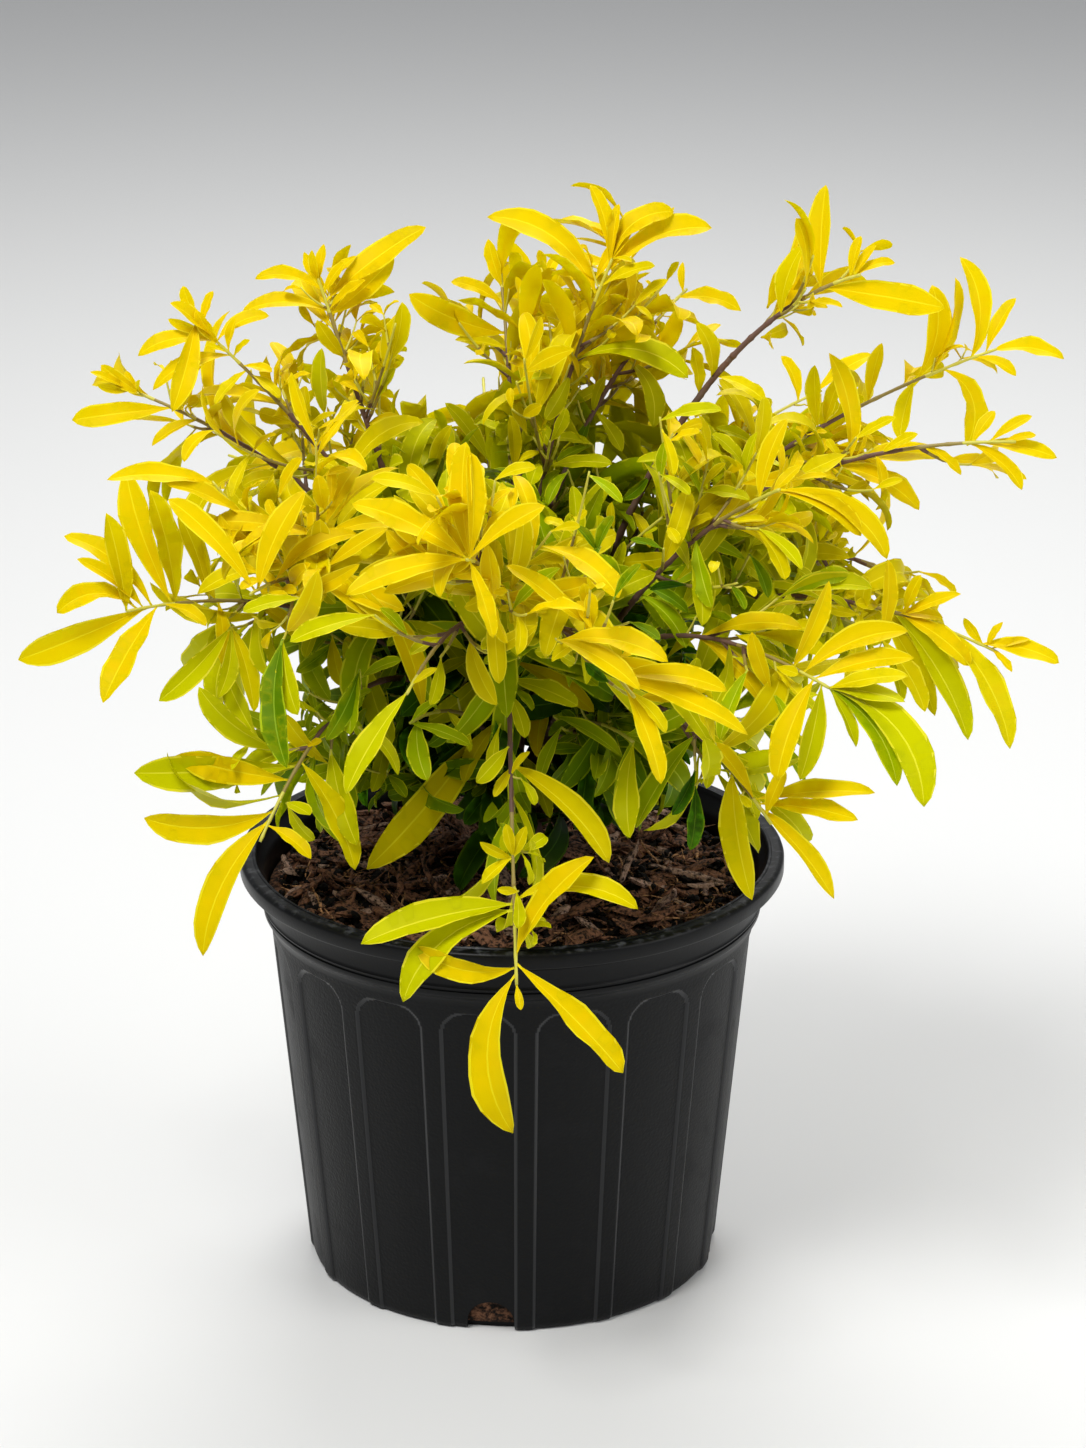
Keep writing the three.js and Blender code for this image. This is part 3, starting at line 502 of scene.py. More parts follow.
def stem_curve():
    """The main stem: straight up from its foot, then leaning over to its head."""
    foot, head = np.array(STEM_FOOT), np.array(STEM_HEAD)
    middle = np.array([foot[0], foot[1], (foot[2] + head[2]) / 2])
    return np.stack([foot, middle, head])


def shoot_curve(parent, along, tip, arch):
    """A shoot leaves its parent between the parent's direction and its own chord, and arches over."""
    root = on_curve(parent, along)
    chord = tip - root
    leave = unit(unit(speed(parent, along)) + unit(chord))
    control = root + leave * 0.45 * np.linalg.norm(chord) + UP * arch
    return np.stack([root, control, tip])


def rising_curve(root, way, length, ahead):
    """A short limb's curve: straight out for half its length, then to a share of it ahead and 0.3 up."""
    tip = root + way * ahead * length + UP * 0.3 * length
    return np.stack([root, root + way * 0.5 * length, tip], axis=-2)


def twig_curve(shoot, index, share_of_length):
    """A side twig: it leaves its shoot at an angle, a golden angle on from the last, and rises a little."""
    mass = shoot.mass
    share = TWIG_FIRST + TWIG_SPAN * ((0.25 + TWIG_STEP * index + 0.2 * float(draws(mass, index, 1))) % 1)
    t = shoot.start + (shoot.end - shoot.start) * share
    turn = 360 * float(draws(mass, 0, 2)) + TWIG_TURN * index + 30 * float(draws(mass, index, 3))
    tangent = unit(speed(shoot.curve, t))
    length = TWIG_LENGTH * (1.1 - 0.45 * share) * (0.85 + 0.3 * float(draws(mass, index, 4)))
    length = length * share_of_length
    angle = TWIG_ANGLE * DEGREE
    leave = tangent * math.cos(angle) + outward(tangent, turn) * math.sin(angle)
    return rising_curve(on_curve(shoot.curve, t), leave, length, 0.93)


def grow_shoots():
    """The bare boughs and the leafy shoots of every mass, in the order in which the solids number them."""
    curves, boughs, shoots = {"stem": stem_curve()}, [], []
    for mass, (name, row) in enumerate(SHOOTS.items()):
        tip = place(row.azimuth, row.reach, row.height)
        curve = shoot_curve(curves[row.parent], row.along, tip, row.arch)
        curves[name] = curve
        radii = BOUGH_RADII if row.parent == "stem" else CHILD_BOUGH_RADII
        boughs.append(Axis(curve, 0.0, row.bare, mass, BOUGH_NUMBER, radii, 0.9, None, "bough"))
        shoots.append(Axis(curve, row.bare, 1.0, mass, 0, SHOOT_RADII, row.young, row.turn, "shoot"))
    for mass, (along, azimuth, reach, height, arch) in enumerate(INNER_SHOOTS.values(), start=len(SHOOTS)):
        curve = shoot_curve(curves["stem"], along, place(azimuth, reach, height), arch)
        shoots.append(Axis(curve, 0.0, 1.0, mass, 0, SHOOT_RADII, INNER_YOUNG_SHARE, None, "shoot"))
    return curves["stem"], boughs, shoots


class Spaces:
    """Each mass's own space: the points that lie nearer its shoot than any other's, with a little give."""

    def __init__(self, shoots):
        steps = np.linspace(0, 1, 7)
        self.samples = np.stack([on_curve(s.curve, s.start + (1 - s.start) * steps) for s in shoots])

    def holds(self, points, mass):
        """Whether each point is in the space of its mass."""
        away = np.linalg.norm(points[:, None, None, :] - self.samples[None], axis=-1).min(axis=2)
        own = np.take_along_axis(away, mass[:, None], axis=1)[:, 0]
        np.put_along_axis(away, mass[:, None], np.inf, axis=1)
        return own < away.min(axis=1) * SPACE_GIVE


def clear_of_pot(points):
    """Whether each point is above the soil, clear of the pot's wall and lip, and off the ground."""
    reach = np.hypot(points[..., 0], points[..., 1])
    z = points[..., 2]
    in_soil = (reach < SOIL_EDGE[0]) & (z < SOIL_EDGE[1])
    in_wall = (reach > WALL_REACHES[0]) & (reach < WALL_REACHES[1]) & (z < LIP_CLEAR)
    return ~(in_soil | in_wall) & (z > GROUND_CLEAR)


def pair_back(pair, step):
    """How far each pair of leaves is from its axis's tip: TIP_GAP + step (p - CLOSING_UP (1 - e^(-p/2)))."""
    return TIP_GAP + step * (pair - CLOSING_UP * (1 - np.exp(-pair / 2)))


def leaf_rows(root, tangent, **columns):
    """Leaves' places as one flat array for each column, with 0 in each column that isn't given."""
    shape = root.shape[:-1]
    rows = {"root": root.reshape(-1, 3), "tangent": tangent.reshape(-1, 3)}
    for key in ("turn", "angle", "bend", "sway", "size", "young", "round", "old", "seen"):
        rows[key] = np.broadcast_to(columns.get(key, 0.0), shape).ravel()
    for key in ("mass", "spray", "tint"):
        rows[key] = np.broadcast_to(columns.get(key, 0), shape).ravel().astype(int)
    return rows


def leaf_places(axis, step):
    """Leaves in crossed pairs back from an axis's tip, closing up and growing young towards it.

    What is young about a leaf falls off as e^(-back/YOUNG_REACH), and no leaf of a bough is young.
    """
    length = curve_length(axis.curve) * (axis.end - axis.start)
    pair = np.arange(int(length / step) + 4)
    back = pair_back(pair, step)
    kept = back < length - ROOT_GAP
    pair, back = pair[kept][:, None], back[kept][:, None]
    hand = np.array([[0, 1]])
    young = np.exp(-back / YOUNG_REACH)
    if axis.kind == "bough":
        young = young * 0
    turn = axis.turn if axis.turn is not None else 360 * float(draws(axis.mass, axis.twig, 5))
    key = (axis.mass, axis.twig, pair)
    turn = turn + 90 * pair + 180 * hand + TURN_SPREAD * (draws(*key, hand + 7) - 0.5)
    t = (axis.end - (axis.end - axis.start) * back / length) * np.ones_like(turn)
    least_bend, more_bend = BEND
    return leaf_rows(
        on_curve(axis.curve, t),
        unit(speed(axis.curve, t)),
        turn=turn,
        angle=LEAF_ANGLE - YOUNG_ANGLE * young + ANGLE_SPREAD * (draws(*key, hand + 9) - 0.5),
        bend=(least_bend + more_bend * draws(*key, hand + 11)) * (1 - 0.75 * young),
        sway=1.1 * (draws(*key, hand + 13) - 0.5) * (1 - 0.7 * young),
        size=(1 - (1 - axis.young_share) * young) * (0.84 + 0.3 * draws(*key, 6)),
        young=young,
        mass=axis.mass,
        spray=axis.mass * 100 + axis.twig,
        old=1.0 if "bough" in axis.kind else 0.0,
    )


def spur_axes(places, share=1.0):
    """Short leafy spurs in some of the leaf axils: each points between its leaf and its twig."""
    out = outward(places["tangent"], places["turn"])
    number = np.arange(len(out))
    pick = (draws(places["spray"], number, 21) < SPUR_SHARE) & (places["young"] < SPUR_YOUNG)
    pick &= draws(places["spray"], number, 22) < share
    way = unit(places["tangent"][pick] * 0.8 + out[pick])
    shortest, more = SPUR_LENGTH
    length = (shortest + more * draws(places["spray"], number, 23)[pick])[:, None]
    curves = rising_curve(places["root"][pick], way, length, 0.92)
    return [
        Axis(curve, 0.0, 1.0, int(mass), int(key), SPUR_RADII, 0.0, None, "spur")
        for curve, mass, key in zip(curves, places["mass"][pick], places["spray"][pick])
    ]


def spur_places(axes):
    """Two pairs of small leaves on each spur, one at its tip and a larger one half way down it."""
    curves = np.stack([axis.curve for axis in axes])[:, None, :, :]
    t = np.array([[0.98, 0.98, 0.5, 0.5]]) * np.ones((len(axes), 1))
    number = np.arange(len(axes))[:, None]
    key = np.array([axis.twig for axis in axes])[:, None]
    hand = np.array([[0, 1, 2, 3]])
    base = np.array([[0.2, 0.2, 0.3, 0.3]])
    return leaf_rows(
        on_curve(curves, t),
        unit(speed(curves, t)),
        turn=360 * draws(key, number, 31) + np.array([[0, 180, 90, 270]]),
        angle=40 + 20 * draws(key, number, hand + 32),
        bend=10 + 40 * draws(key, number, hand + 36),
        size=base * (0.8 + 0.7 * draws(key, number, 40)),
        young=0.5,
        round=0.4,
        mass=np.array([axis.mass for axis in axes])[:, None],
        spray=key,
    )


def join(parts):
    """Several sets of places as one."""
    return {key: np.concatenate([part[key] for part in parts]) for key in parts[0]}


def aim(places):
    """Adds each leaf's direction and its upper face's direction.

    A leaf leaves its twig at its angle in its turn. Its face looks partly along the twig, partly up, partly
    out of the crown and partly by chance, made square to its direction.
    """
    tangent, root = places["tangent"], places["root"]
    angle = places["angle"][:, None] * DEGREE
    leave = unit(tangent * np.cos(angle) + outward(tangent, places["turn"]) * np.sin(angle))
    radial = unit(root * np.array([1.0, 1.0, 0.0]))
    number = np.arange(len(root))
    chance = np.stack([draws(places["spray"], number, key) - 0.5 for key in (91, 92, 93)], axis=1)
    along, above, out, by_chance = FACE_PULLS
    face = tangent * along + UP * above + radial * out + chance * by_chance
    face = unit(face - leave * (face * leave).sum(axis=1, keepdims=True))
    return {**places, "leave": leave, "face": face}


def lean_of(bend, s):
    """How far a leaf has turned away from its upper face at a share of its length: more towards its tip."""
    return bend * (0.35 * s + 0.65 * s * s) * 1.25


def arch(bend, sway, shares):
    """A leaf's midrib as shares of its length ahead, up and aside: its direction summed along it."""
    fine = np.linspace(0, 1, 41)
    lean = lean_of(bend[:, None], fine)
    aside = sway[:, None] * fine
    ways = np.stack([np.cos(lean) * np.cos(aside), -np.sin(lean), np.cos(lean) * np.sin(aside)])
    steps = np.cumsum((ways[..., 1:] + ways[..., :-1]) / 2, axis=2)
    sums = np.concatenate([np.zeros((3, len(bend), 1)), steps], axis=2)
    place_of = np.asarray(shares) * 40
    low = np.minimum(place_of.astype(int), 39)
    return (sums[..., low] + (sums[..., low + 1] - sums[..., low]) * (place_of - low)) / 40


def midrib(places, shares, full_length):
    """Points along each leaf's midrib, (leaves, shares, 3)."""
    parts = arch(places["bend"] * DEGREE, places["sway"], shares)[..., None] * full_length
    ways = [places["leave"], places["face"], np.cross(places["leave"], places["face"])]
    path = sum(way[:, None, :] * part for way, part in zip(ways, parts))
    return places["root"][:, None, :] + path * places["size"][:, None, None]


def view_axes():
    """The camera's place, its ways right, up in the picture and ahead, and its focal length in pixels."""
    down = VIEW_DOWN * DEGREE
    ahead = np.array([0.0, math.cos(down), -math.sin(down)])
    right = np.array([1.0, 0.0, 0.0])
    camera = np.array(VIEW_TARGET) - ahead * VIEW_DISTANCE
    return camera, right, np.cross(right, ahead), ahead, VIEW_LENS / SENSOR * max(PHOTO)


def in_photo(points):
    """Where points show in the photograph, in pixels across and down, and how far ahead of the camera."""
    camera, right, up, ahead, focal = view_axes()
    away = points - camera
    depth = away @ ahead
    return PHOTO[0] / 2 + focal * (away @ right) / depth, PHOTO[1] / 2 - focal * (away @ up) / depth, depth


def in_opening(across, down):
    """Whether each place in the photograph is in one of the openings of the crown."""
    inside = [((across - x) / half) ** 2 + ((down - y) / rise) ** 2 < 1 for x, y, half, rise in OPENINGS]
    return np.any(inside, axis=0)


def leading_roots(shoots, limbs):
    """Where each leading and seen leaf springs: its root, its limb's direction, its mass and its own row.

    A leading leaf springs from its shoot. A seen leaf springs from the limb nearest the viewer among those
    that show close to its root, and its tip is nearer the viewer by SEEN_RISE for each pixel of its length.
    """
    found = []
    for name, leaves in LEADING_LEAVES.items():
        shoot = shoots[MASSES.index(name)]
        for back, across, down, toward, bend, *tint in leaves:
            t = shoot.end - back / curve_length(shoot.curve)
            row = (across, down, toward, bend, *(tint or [0]))
            found.append((on_curve(shoot.curve, t), unit(speed(shoot.curve, t)), shoot.mass, row))
    steps = np.linspace(0, 1, LIMB_STEPS)
    shares = [axis.start + (axis.end - axis.start) * steps for axis in limbs]
    points = np.concatenate([on_curve(axis.curve, share) for axis, share in zip(limbs, shares)])
    ways = np.concatenate([unit(speed(axis.curve, share)) for axis, share in zip(limbs, shares)])
    masses = np.repeat([axis.mass for axis in limbs], LIMB_STEPS)
    across, down, depth = in_photo(points)
    slack, least = SEEN_SLACK
    for x, y, tip_x, tip_y, bend, *tint in SEEN_LEAVES:
        away = np.hypot(across - x, down - y)
        pick = np.argmin(np.where(away < max(away.min() + slack, least), depth, np.inf))
        toward = min(SEEN_RISE * math.hypot(tip_x - x, tip_y - y), SEEN_MOST_RISE)
        row = (tip_x, tip_y, toward, bend, *(tint or [0]))
        found.append((points[pick], ways[pick], masses[pick], row))
    return found


def leading_leaves(shoots, limbs, full_length):
    """The leaves that the photograph shows clearly, set so that their tips show where they do there.

    A leaf's way from root to tip, bent and swayed in its own axes, is turned as a whole so that it ends at
    the tip, with its face looking at the viewer and a little out of its arch.
    """
    camera, right, up, ahead, focal = view_axes()
    found = leading_roots(shoots, limbs)
    root, tangent, mass = (np.array([row[k] for row in found]) for k in (0, 1, 2))
    across, down, toward, bend, tint = np.array([row[3] for row in found], dtype=float).T
    depth = (root - camera) @ ahead - toward
    sight = ahead + np.outer((across - PHOTO[0] / 2) / focal, right)
    sight = sight + np.outer((PHOTO[1] / 2 - down) / focal, up)
    chord = camera + sight * depth[:, None] - root
    left = unit(np.outer(chord @ right, up) - np.outer(chord @ up, right))
    out, nearer, above = LEADING_PULLS
    face = left * (out * np.sign(bend))[:, None] - ahead * nearer + UP * above
    span = np.linalg.norm(chord, axis=1)
    chord = chord / span[:, None]
    face = unit(face - chord * (face * chord).sum(axis=1, keepdims=True))
    aside = np.cross(chord, face)
    sway = 0.85 * bend * DEGREE
    bend = 0.5 * np.abs(bend) + 10
    path = arch(bend * DEGREE, sway, (1.0,))[..., 0].T
    reach = np.linalg.norm(path, axis=1)
    own = path / reach[:, None]
    over = unit(np.array([0.0, 1.0, 0.0]) - own * own[:, 1:2])
    across_own = np.cross(own, over)
    size = np.minimum(span / reach / full_length, LEADING_MOST_SIZE)
    shape = {"bend": bend, "sway": sway, "size": size, "seen": 1.0, "tint": tint}
    return {
        **leaf_rows(root, tangent, mass=mass, spray=mass * 100, **shape),
        "leave": chord * own[:, :1] + face * over[:, :1] + aside * across_own[:, :1],
        "face": chord * own[:, 1:2] + face * over[:, 1:2] + aside * across_own[:, 1:2],
    }


def allowed(places, marks, limbs, spaces, full_length):
    """Whether each leaf is in its own mass's space and clear of the pot, the limbs and the leading leaves.

    In the photograph's view it also keeps out of the openings and from before the leading leaves.
    """
    leading = places["seen"] > 0
    stays = spaces.holds(marks[:, TRIED.index(0.5)], places["mass"]) | (places["old"] > 0)
    stays &= clear_of_pot(marks).all(axis=1)
    away = np.linalg.norm(marks[:, 1:, None, :] - limbs[None, None, :, :], axis=-1).min(axis=(1, 2))
    stays &= away > LIMB_ROOM
    first = places["root"][leading]
    stays &= np.linalg.norm(places["root"][:, None] - first[None], axis=-1).min(axis=1) >= LEADING_ROOM
    across, down, depth = in_photo(marks)
    stays &= ~in_opening(across, down).any(axis=1)
    before = {key: values[leading] for key, values in places.items()}
    for x, y, far in zip(*in_photo(midrib(before, np.linspace(0.1, 1.0, 9), full_length))):
        near = np.hypot(across[:, :, None] - x, down[:, :, None] - y) < SIGHT_ROOM
        stays &= ~(near & (depth[:, :, None] < far)).any(axis=(1, 2))
    return stays | leading


def thin_out(places, limbs, spaces, full_length, spread):
    """The leaves that are allowed, and keep their distance from those before them in the rule's order."""
    marks = midrib(places, TRIED, full_length)
    leading = places["seen"] > 0
    stays = allowed(places, marks, limbs, spaces, full_length)
    kept = np.empty((marks.shape[0] * len(TRIED), 3))
    count = 0
    for k in np.flatnonzero(stays):
        gap = spread * (0.35 + 0.65 * min(places["size"][k], 1.0)) * (LEADING_EASE if leading[k] else 1.0)
        near = np.abs(kept[:count] - marks[k, 2]).max(axis=1) < COMPARED
        others = kept[:count][near]
        if len(others) and np.linalg.norm(others[:, None] - marks[k][None], axis=-1).min() < gap:
            stays[k] = False
            continue
        kept[count:count + len(TRIED)] = marks[k]
        count += len(TRIED)
    return {key: values[stays] for key, values in places.items()}


def leafy_twigs(twigs, leaves):
    """The twigs with enough leaves or a leading one, each ended at its last leaf, and all but the others'.

    A leaf belongs to the twig that its spray names, and a leading leaf to the one that its root lies on.
    """
    steps = np.linspace(0, 1, LIMB_STEPS)
    seen = leaves["seen"] > 0
    kept, dropped = [], []
    for axis in twigs:
        number = axis.mass * 100 + axis.twig
        own = ~seen & (leaves["spray"] == number)
        away = np.linalg.norm(on_curve(axis.curve, steps)[:, None] - leaves["root"][None], axis=-1)
        leading = seen & (away.min(axis=0) < ON_LIMB)
        if own.sum() >= TWIG_LEAST_LEAVES or leading.any():
            last = away[:, own | leading].argmin(axis=0).max()
            kept.append(axis._replace(end=min(steps[last] + 0.02, 1.0)))
        else:
            dropped.append(number)
    left = ~np.isin(leaves["spray"], dropped) | seen
    return kept, {key: part[left] for key, part in leaves.items()}


def wanted_twigs(shoots, boughs):
    """Each twig that the rule asks for: its limb, its number, its length beside a full twig's, its kind."""
    wanted = []
    for shoot, name in zip(shoots, MASSES):
        full, fine = (SHOOTS[name].twigs, FINE_TWIGS) if name in SHOOTS else (INNER_TWIGS, INNER_FINE_TWIGS)
        for index in range(full + fine):
            wanted.append((shoot, index, 1.0 if index < full else FINE_TWIG_SHARE, "twig"))
    for bough, name in zip(boughs, SHOOTS):
        end = 0.5 if name in BARE_BOUGHS else 0.9
        leafy = bough._replace(start=bough.end * 0.12, end=bough.end * end)
        for index in range(BOUGH_TWIGS):
            wanted.append((leafy, BOUGH_TWIG_NUMBER + index, BOUGH_TWIG_SHARE, "bough twig"))
    return wanted


def grow_twigs(shoots, boughs, spaces):
    """The wanted twigs that end in their own mass's space, clear of the pot and outside the openings."""
    twigs = []
    for limb, index, share, kind in wanted_twigs(shoots, boughs):
        curve = twig_curve(limb, index, share)
        tip = curve[2][None]
        across, down, _ = in_photo(on_curve(curve, (0.45, 0.7, 1.0)))
        own = spaces.holds(tip, np.array([limb.mass])) | (kind == "bough twig")
        if (own & clear_of_pot(tip))[0] and not in_opening(across, down).any():
            young = limb.young_share * 0.8
            twigs.append(Axis(curve, 0.0, 1.0, limb.mass, index + 1, TWIG_RADII, young, None, kind))
    return twigs


CROWN = {}


def crown(settings):
    """The whole crown, grown once: the stem's curve, its boughs, shoots, twigs and spurs, and its leaves."""
    if CROWN:
        return CROWN
    full_length, step, spread = settings.length * 1000, settings.step * 1000, settings.spread * 1000
    stem, boughs, shoots = grow_shoots()
    spaces = Spaces(shoots)
    twigs = grow_twigs(shoots, boughs, spaces)
    shoot_places = join([leaf_places(axis, step) for axis in shoots])
    twig_places = join([leaf_places(axis, step * TWIG_STEP_SHARE) for axis in twigs])
    leafy = [axis for axis, name in zip(boughs, SHOOTS) if name not in BARE_BOUGHS]
    bough_places = join([leaf_places(axis._replace(start=axis.end * 0.35), step * 1.4) for axis in leafy])
    spurs = spur_axes(shoot_places) + spur_axes(twig_places) + spur_axes(bough_places, BOUGH_SPUR_SHARE)
    leaves = aim(join([shoot_places, twig_places, bough_places, spur_places(spurs)]))
    leaves = join([leading_leaves(shoots, shoots + boughs + twigs, full_length), leaves])
    limb_points = [on_curve(axis.curve, np.linspace(0.05, axis.end, 24)) for axis in boughs + shoots]
    leaves = thin_out(leaves, np.concatenate(limb_points), spaces, full_length, spread)
    twigs, leaves = leafy_twigs(twigs, leaves)
    tips = {tuple(np.round(root, 3)) for root in leaves["root"]}
    spurs = [axis for axis in spurs if tuple(np.round(on_curve(axis.curve, 0.98), 3)) in tips]
    CROWN.update(stem=stem, boughs=boughs, shoots=shoots, twigs=twigs, spurs=spurs, leaves=leaves)
    return CROWN


# Mesh building


def add_object(name, data):
    """A new object in the scene."""
    made = bpy.data.objects.new(name, data)
    bpy.context.scene.collection.objects.link(made)
    return made


def build_piece(name, points, groups, materials, slot, nodes=(), smooth=True):
    """A mesh object from points in millimetres and groups of faces, each an array of corners and a number."""
    mesh = bpy.data.meshes.new(name)
    corners = np.concatenate([faces.ravel() for faces, _ in groups])
    sides = np.concatenate([np.full(len(faces), faces.shape[1]) for faces, _ in groups])
    starts = np.cumsum(sides) - sides
    slots = np.concatenate([np.broadcast_to(number, len(faces)) for faces, number in groups])
    mesh.vertices.add(len(points))
    mesh.vertices.foreach_set("co", (np.asarray(points) * MM).astype(np.float32).ravel())
    mesh.loops.add(len(corners))
    mesh.loops.foreach_set("vertex_index", corners.astype(np.int32))
    mesh.polygons.add(len(sides))
    mesh.polygons.foreach_set("loop_start", starts.astype(np.int32))
    for material in materials:
        mesh.materials.append(material)
    mesh.polygons.foreach_set("material_index", slots.astype(np.int32))
    mesh.polygons.foreach_set("use_smooth", np.full(len(sides), smooth))
    mesh.update(calc_edges=True)
    if mesh.validate():
        raise RuntimeError(f"{name}: the mesh had faults")
    piece = add_object(name, mesh)
    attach(piece, BODY)
    if nodes:
        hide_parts(*nodes)
    return piece


class Parts:
    """Points and faces that several functions make, gathered for one mesh."""

    def __init__(self):
        self.points, self.groups, self.total = [], [], 0

    def add(self, points, *groups):
        """Adds points, and groups of faces that count from the first of them."""
        self.groups += [(faces + self.total, material) for faces, material in groups]
        self.points.append(points)
        self.total += len(points)

    def build(self, name, *rest, **options):
        """The piece made of everything that was added."""
        return build_piece(name, np.concatenate(self.points), self.groups, *rest, **options)


def grid_faces(rows, columns, wrap):
    """The quads of a grid of points, row by row, its last column joined to its first where it wraps."""
    last = columns if wrap else columns - 1
    row, column = np.meshgrid(np.arange(rows - 1), np.arange(last), indexing="ij")
    after = (column + 1) % columns
    return np.stack([row * columns + column, row * columns + after,
                     (row + 1) * columns + after, (row + 1) * columns + column], axis=-1).reshape(-1, 4)


def turned(rows, angles):
    """A closed turned surface: radii and heights in rows, (rows, angles, 2), and a point at each pole.

    The rows go from the lower pole up and round to the upper one.
    """
    radius, z = rows[..., 0], rows[..., 1]
    points = np.stack([radius * np.cos(angles), radius * np.sin(angles), z], axis=-1).reshape(-1, 3)
    count = len(angles)
    quads = grid_faces(len(rows), count, wrap=True)
    poles = np.array([[0, 0, z[0].mean()], [0, 0, z[-1].mean()]])
    around = np.arange(count)
    after = (around + 1) % count
    low = np.stack([np.full(count, len(points)), after, around], axis=1)
    top = (len(rows) - 1) * count
    high = np.stack([np.full(count, len(points) + 1), top + around, top + after], axis=1)
    return np.concatenate([points, poles]), quads, np.concatenate([low, high])


def tube_faces(number, steps, sides):
    """The quads along a number of tubes made of rings, and the flat caps of their ends."""
    count = steps * sides
    offsets = (np.arange(number) * count)[:, None, None]
    quads = (grid_faces(steps, sides, wrap=True)[None] + offsets).reshape(-1, 4)
    first = (np.arange(sides)[::-1][None, None] + offsets).reshape(-1, sides)
    last = (np.arange(count - sides, count)[None, None] + offsets).reshape(-1, sides)
    return quads, np.concatenate([first, last])


def tubes(curves, starts, ends, radii, sides, relief=0):
    """Closed tubes along quadratic curves: at each step a ring square to the curve, of the step's radius.

    curves is (n, 3, 3) and radii is (n, steps). relief, (n, steps, sides), is added to the radius.
    """
    steps = radii.shape[1]
    share = np.linspace(0, 1, steps)[None, :]
    t = starts[:, None] + (ends - starts)[:, None] * share
    centre = on_curve(curves[:, None], t)
    tangent = unit(speed(curves[:, None], t))
    chord, lean = curves[:, 2] - curves[:, 0], curves[:, 1] - curves[:, 0]
    across = unit(np.cross(chord, lean))[:, None, :] + 0 * tangent
    lift = np.cross(across, tangent)
    angle = np.arange(sides) * math.tau / sides
    reach = radii[..., None] + relief
    ring = across[..., None, :] * np.cos(angle)[:, None] + lift[..., None, :] * np.sin(angle)[:, None]
    points = centre[..., None, :] + ring * reach[..., None]
    return (points.reshape(-1, 3), *tube_faces(len(curves), steps, sides))


def axis_arrays(axes):
    """The curves, starts, ends and lengths of axes, as arrays."""
    curves = np.stack([axis.curve for axis in axes])
    starts, ends = np.array([axis.start for axis in axes]), np.array([axis.end for axis in axes])
    lengths = np.array([curve_length(axis.curve) for axis in axes])[:, None] * (ends - starts)[:, None]
    return curves, starts, ends, lengths


# Materials


def screen(red, green, blue):
    """A screen colour of 0 to 255 as Blender's linear colour."""
    level = np.array([red, green, blue]) / 255
    linear = np.where(level <= 0.04045, level / 12.92, ((level + 0.055) / 1.055) ** 2.4)
    return (*[float(v) for v in linear], 1.0)


def opaque(colour):
    """A colour of three parts with full alpha."""
    return (*colour, 1)


class Value:
    """A shader socket in an expression: each operator adds the Math node that it stands for."""

    def __init__(self, finish, socket):
        self.finish, self.socket = finish, socket

    def _math(self, operation, first, second):
        made = self.finish.node("ShaderNodeMath", {"operation": operation}, {0: first, 1: second})
        return Value(self.finish, made.outputs[0])

    def __add__(self, other):
        return self._math("ADD", self, other)

    def __mul__(self, other):
        return self._math("MULTIPLY", self, other)

    def __rsub__(self, other):
        return self._math("SUBTRACT", other, self)


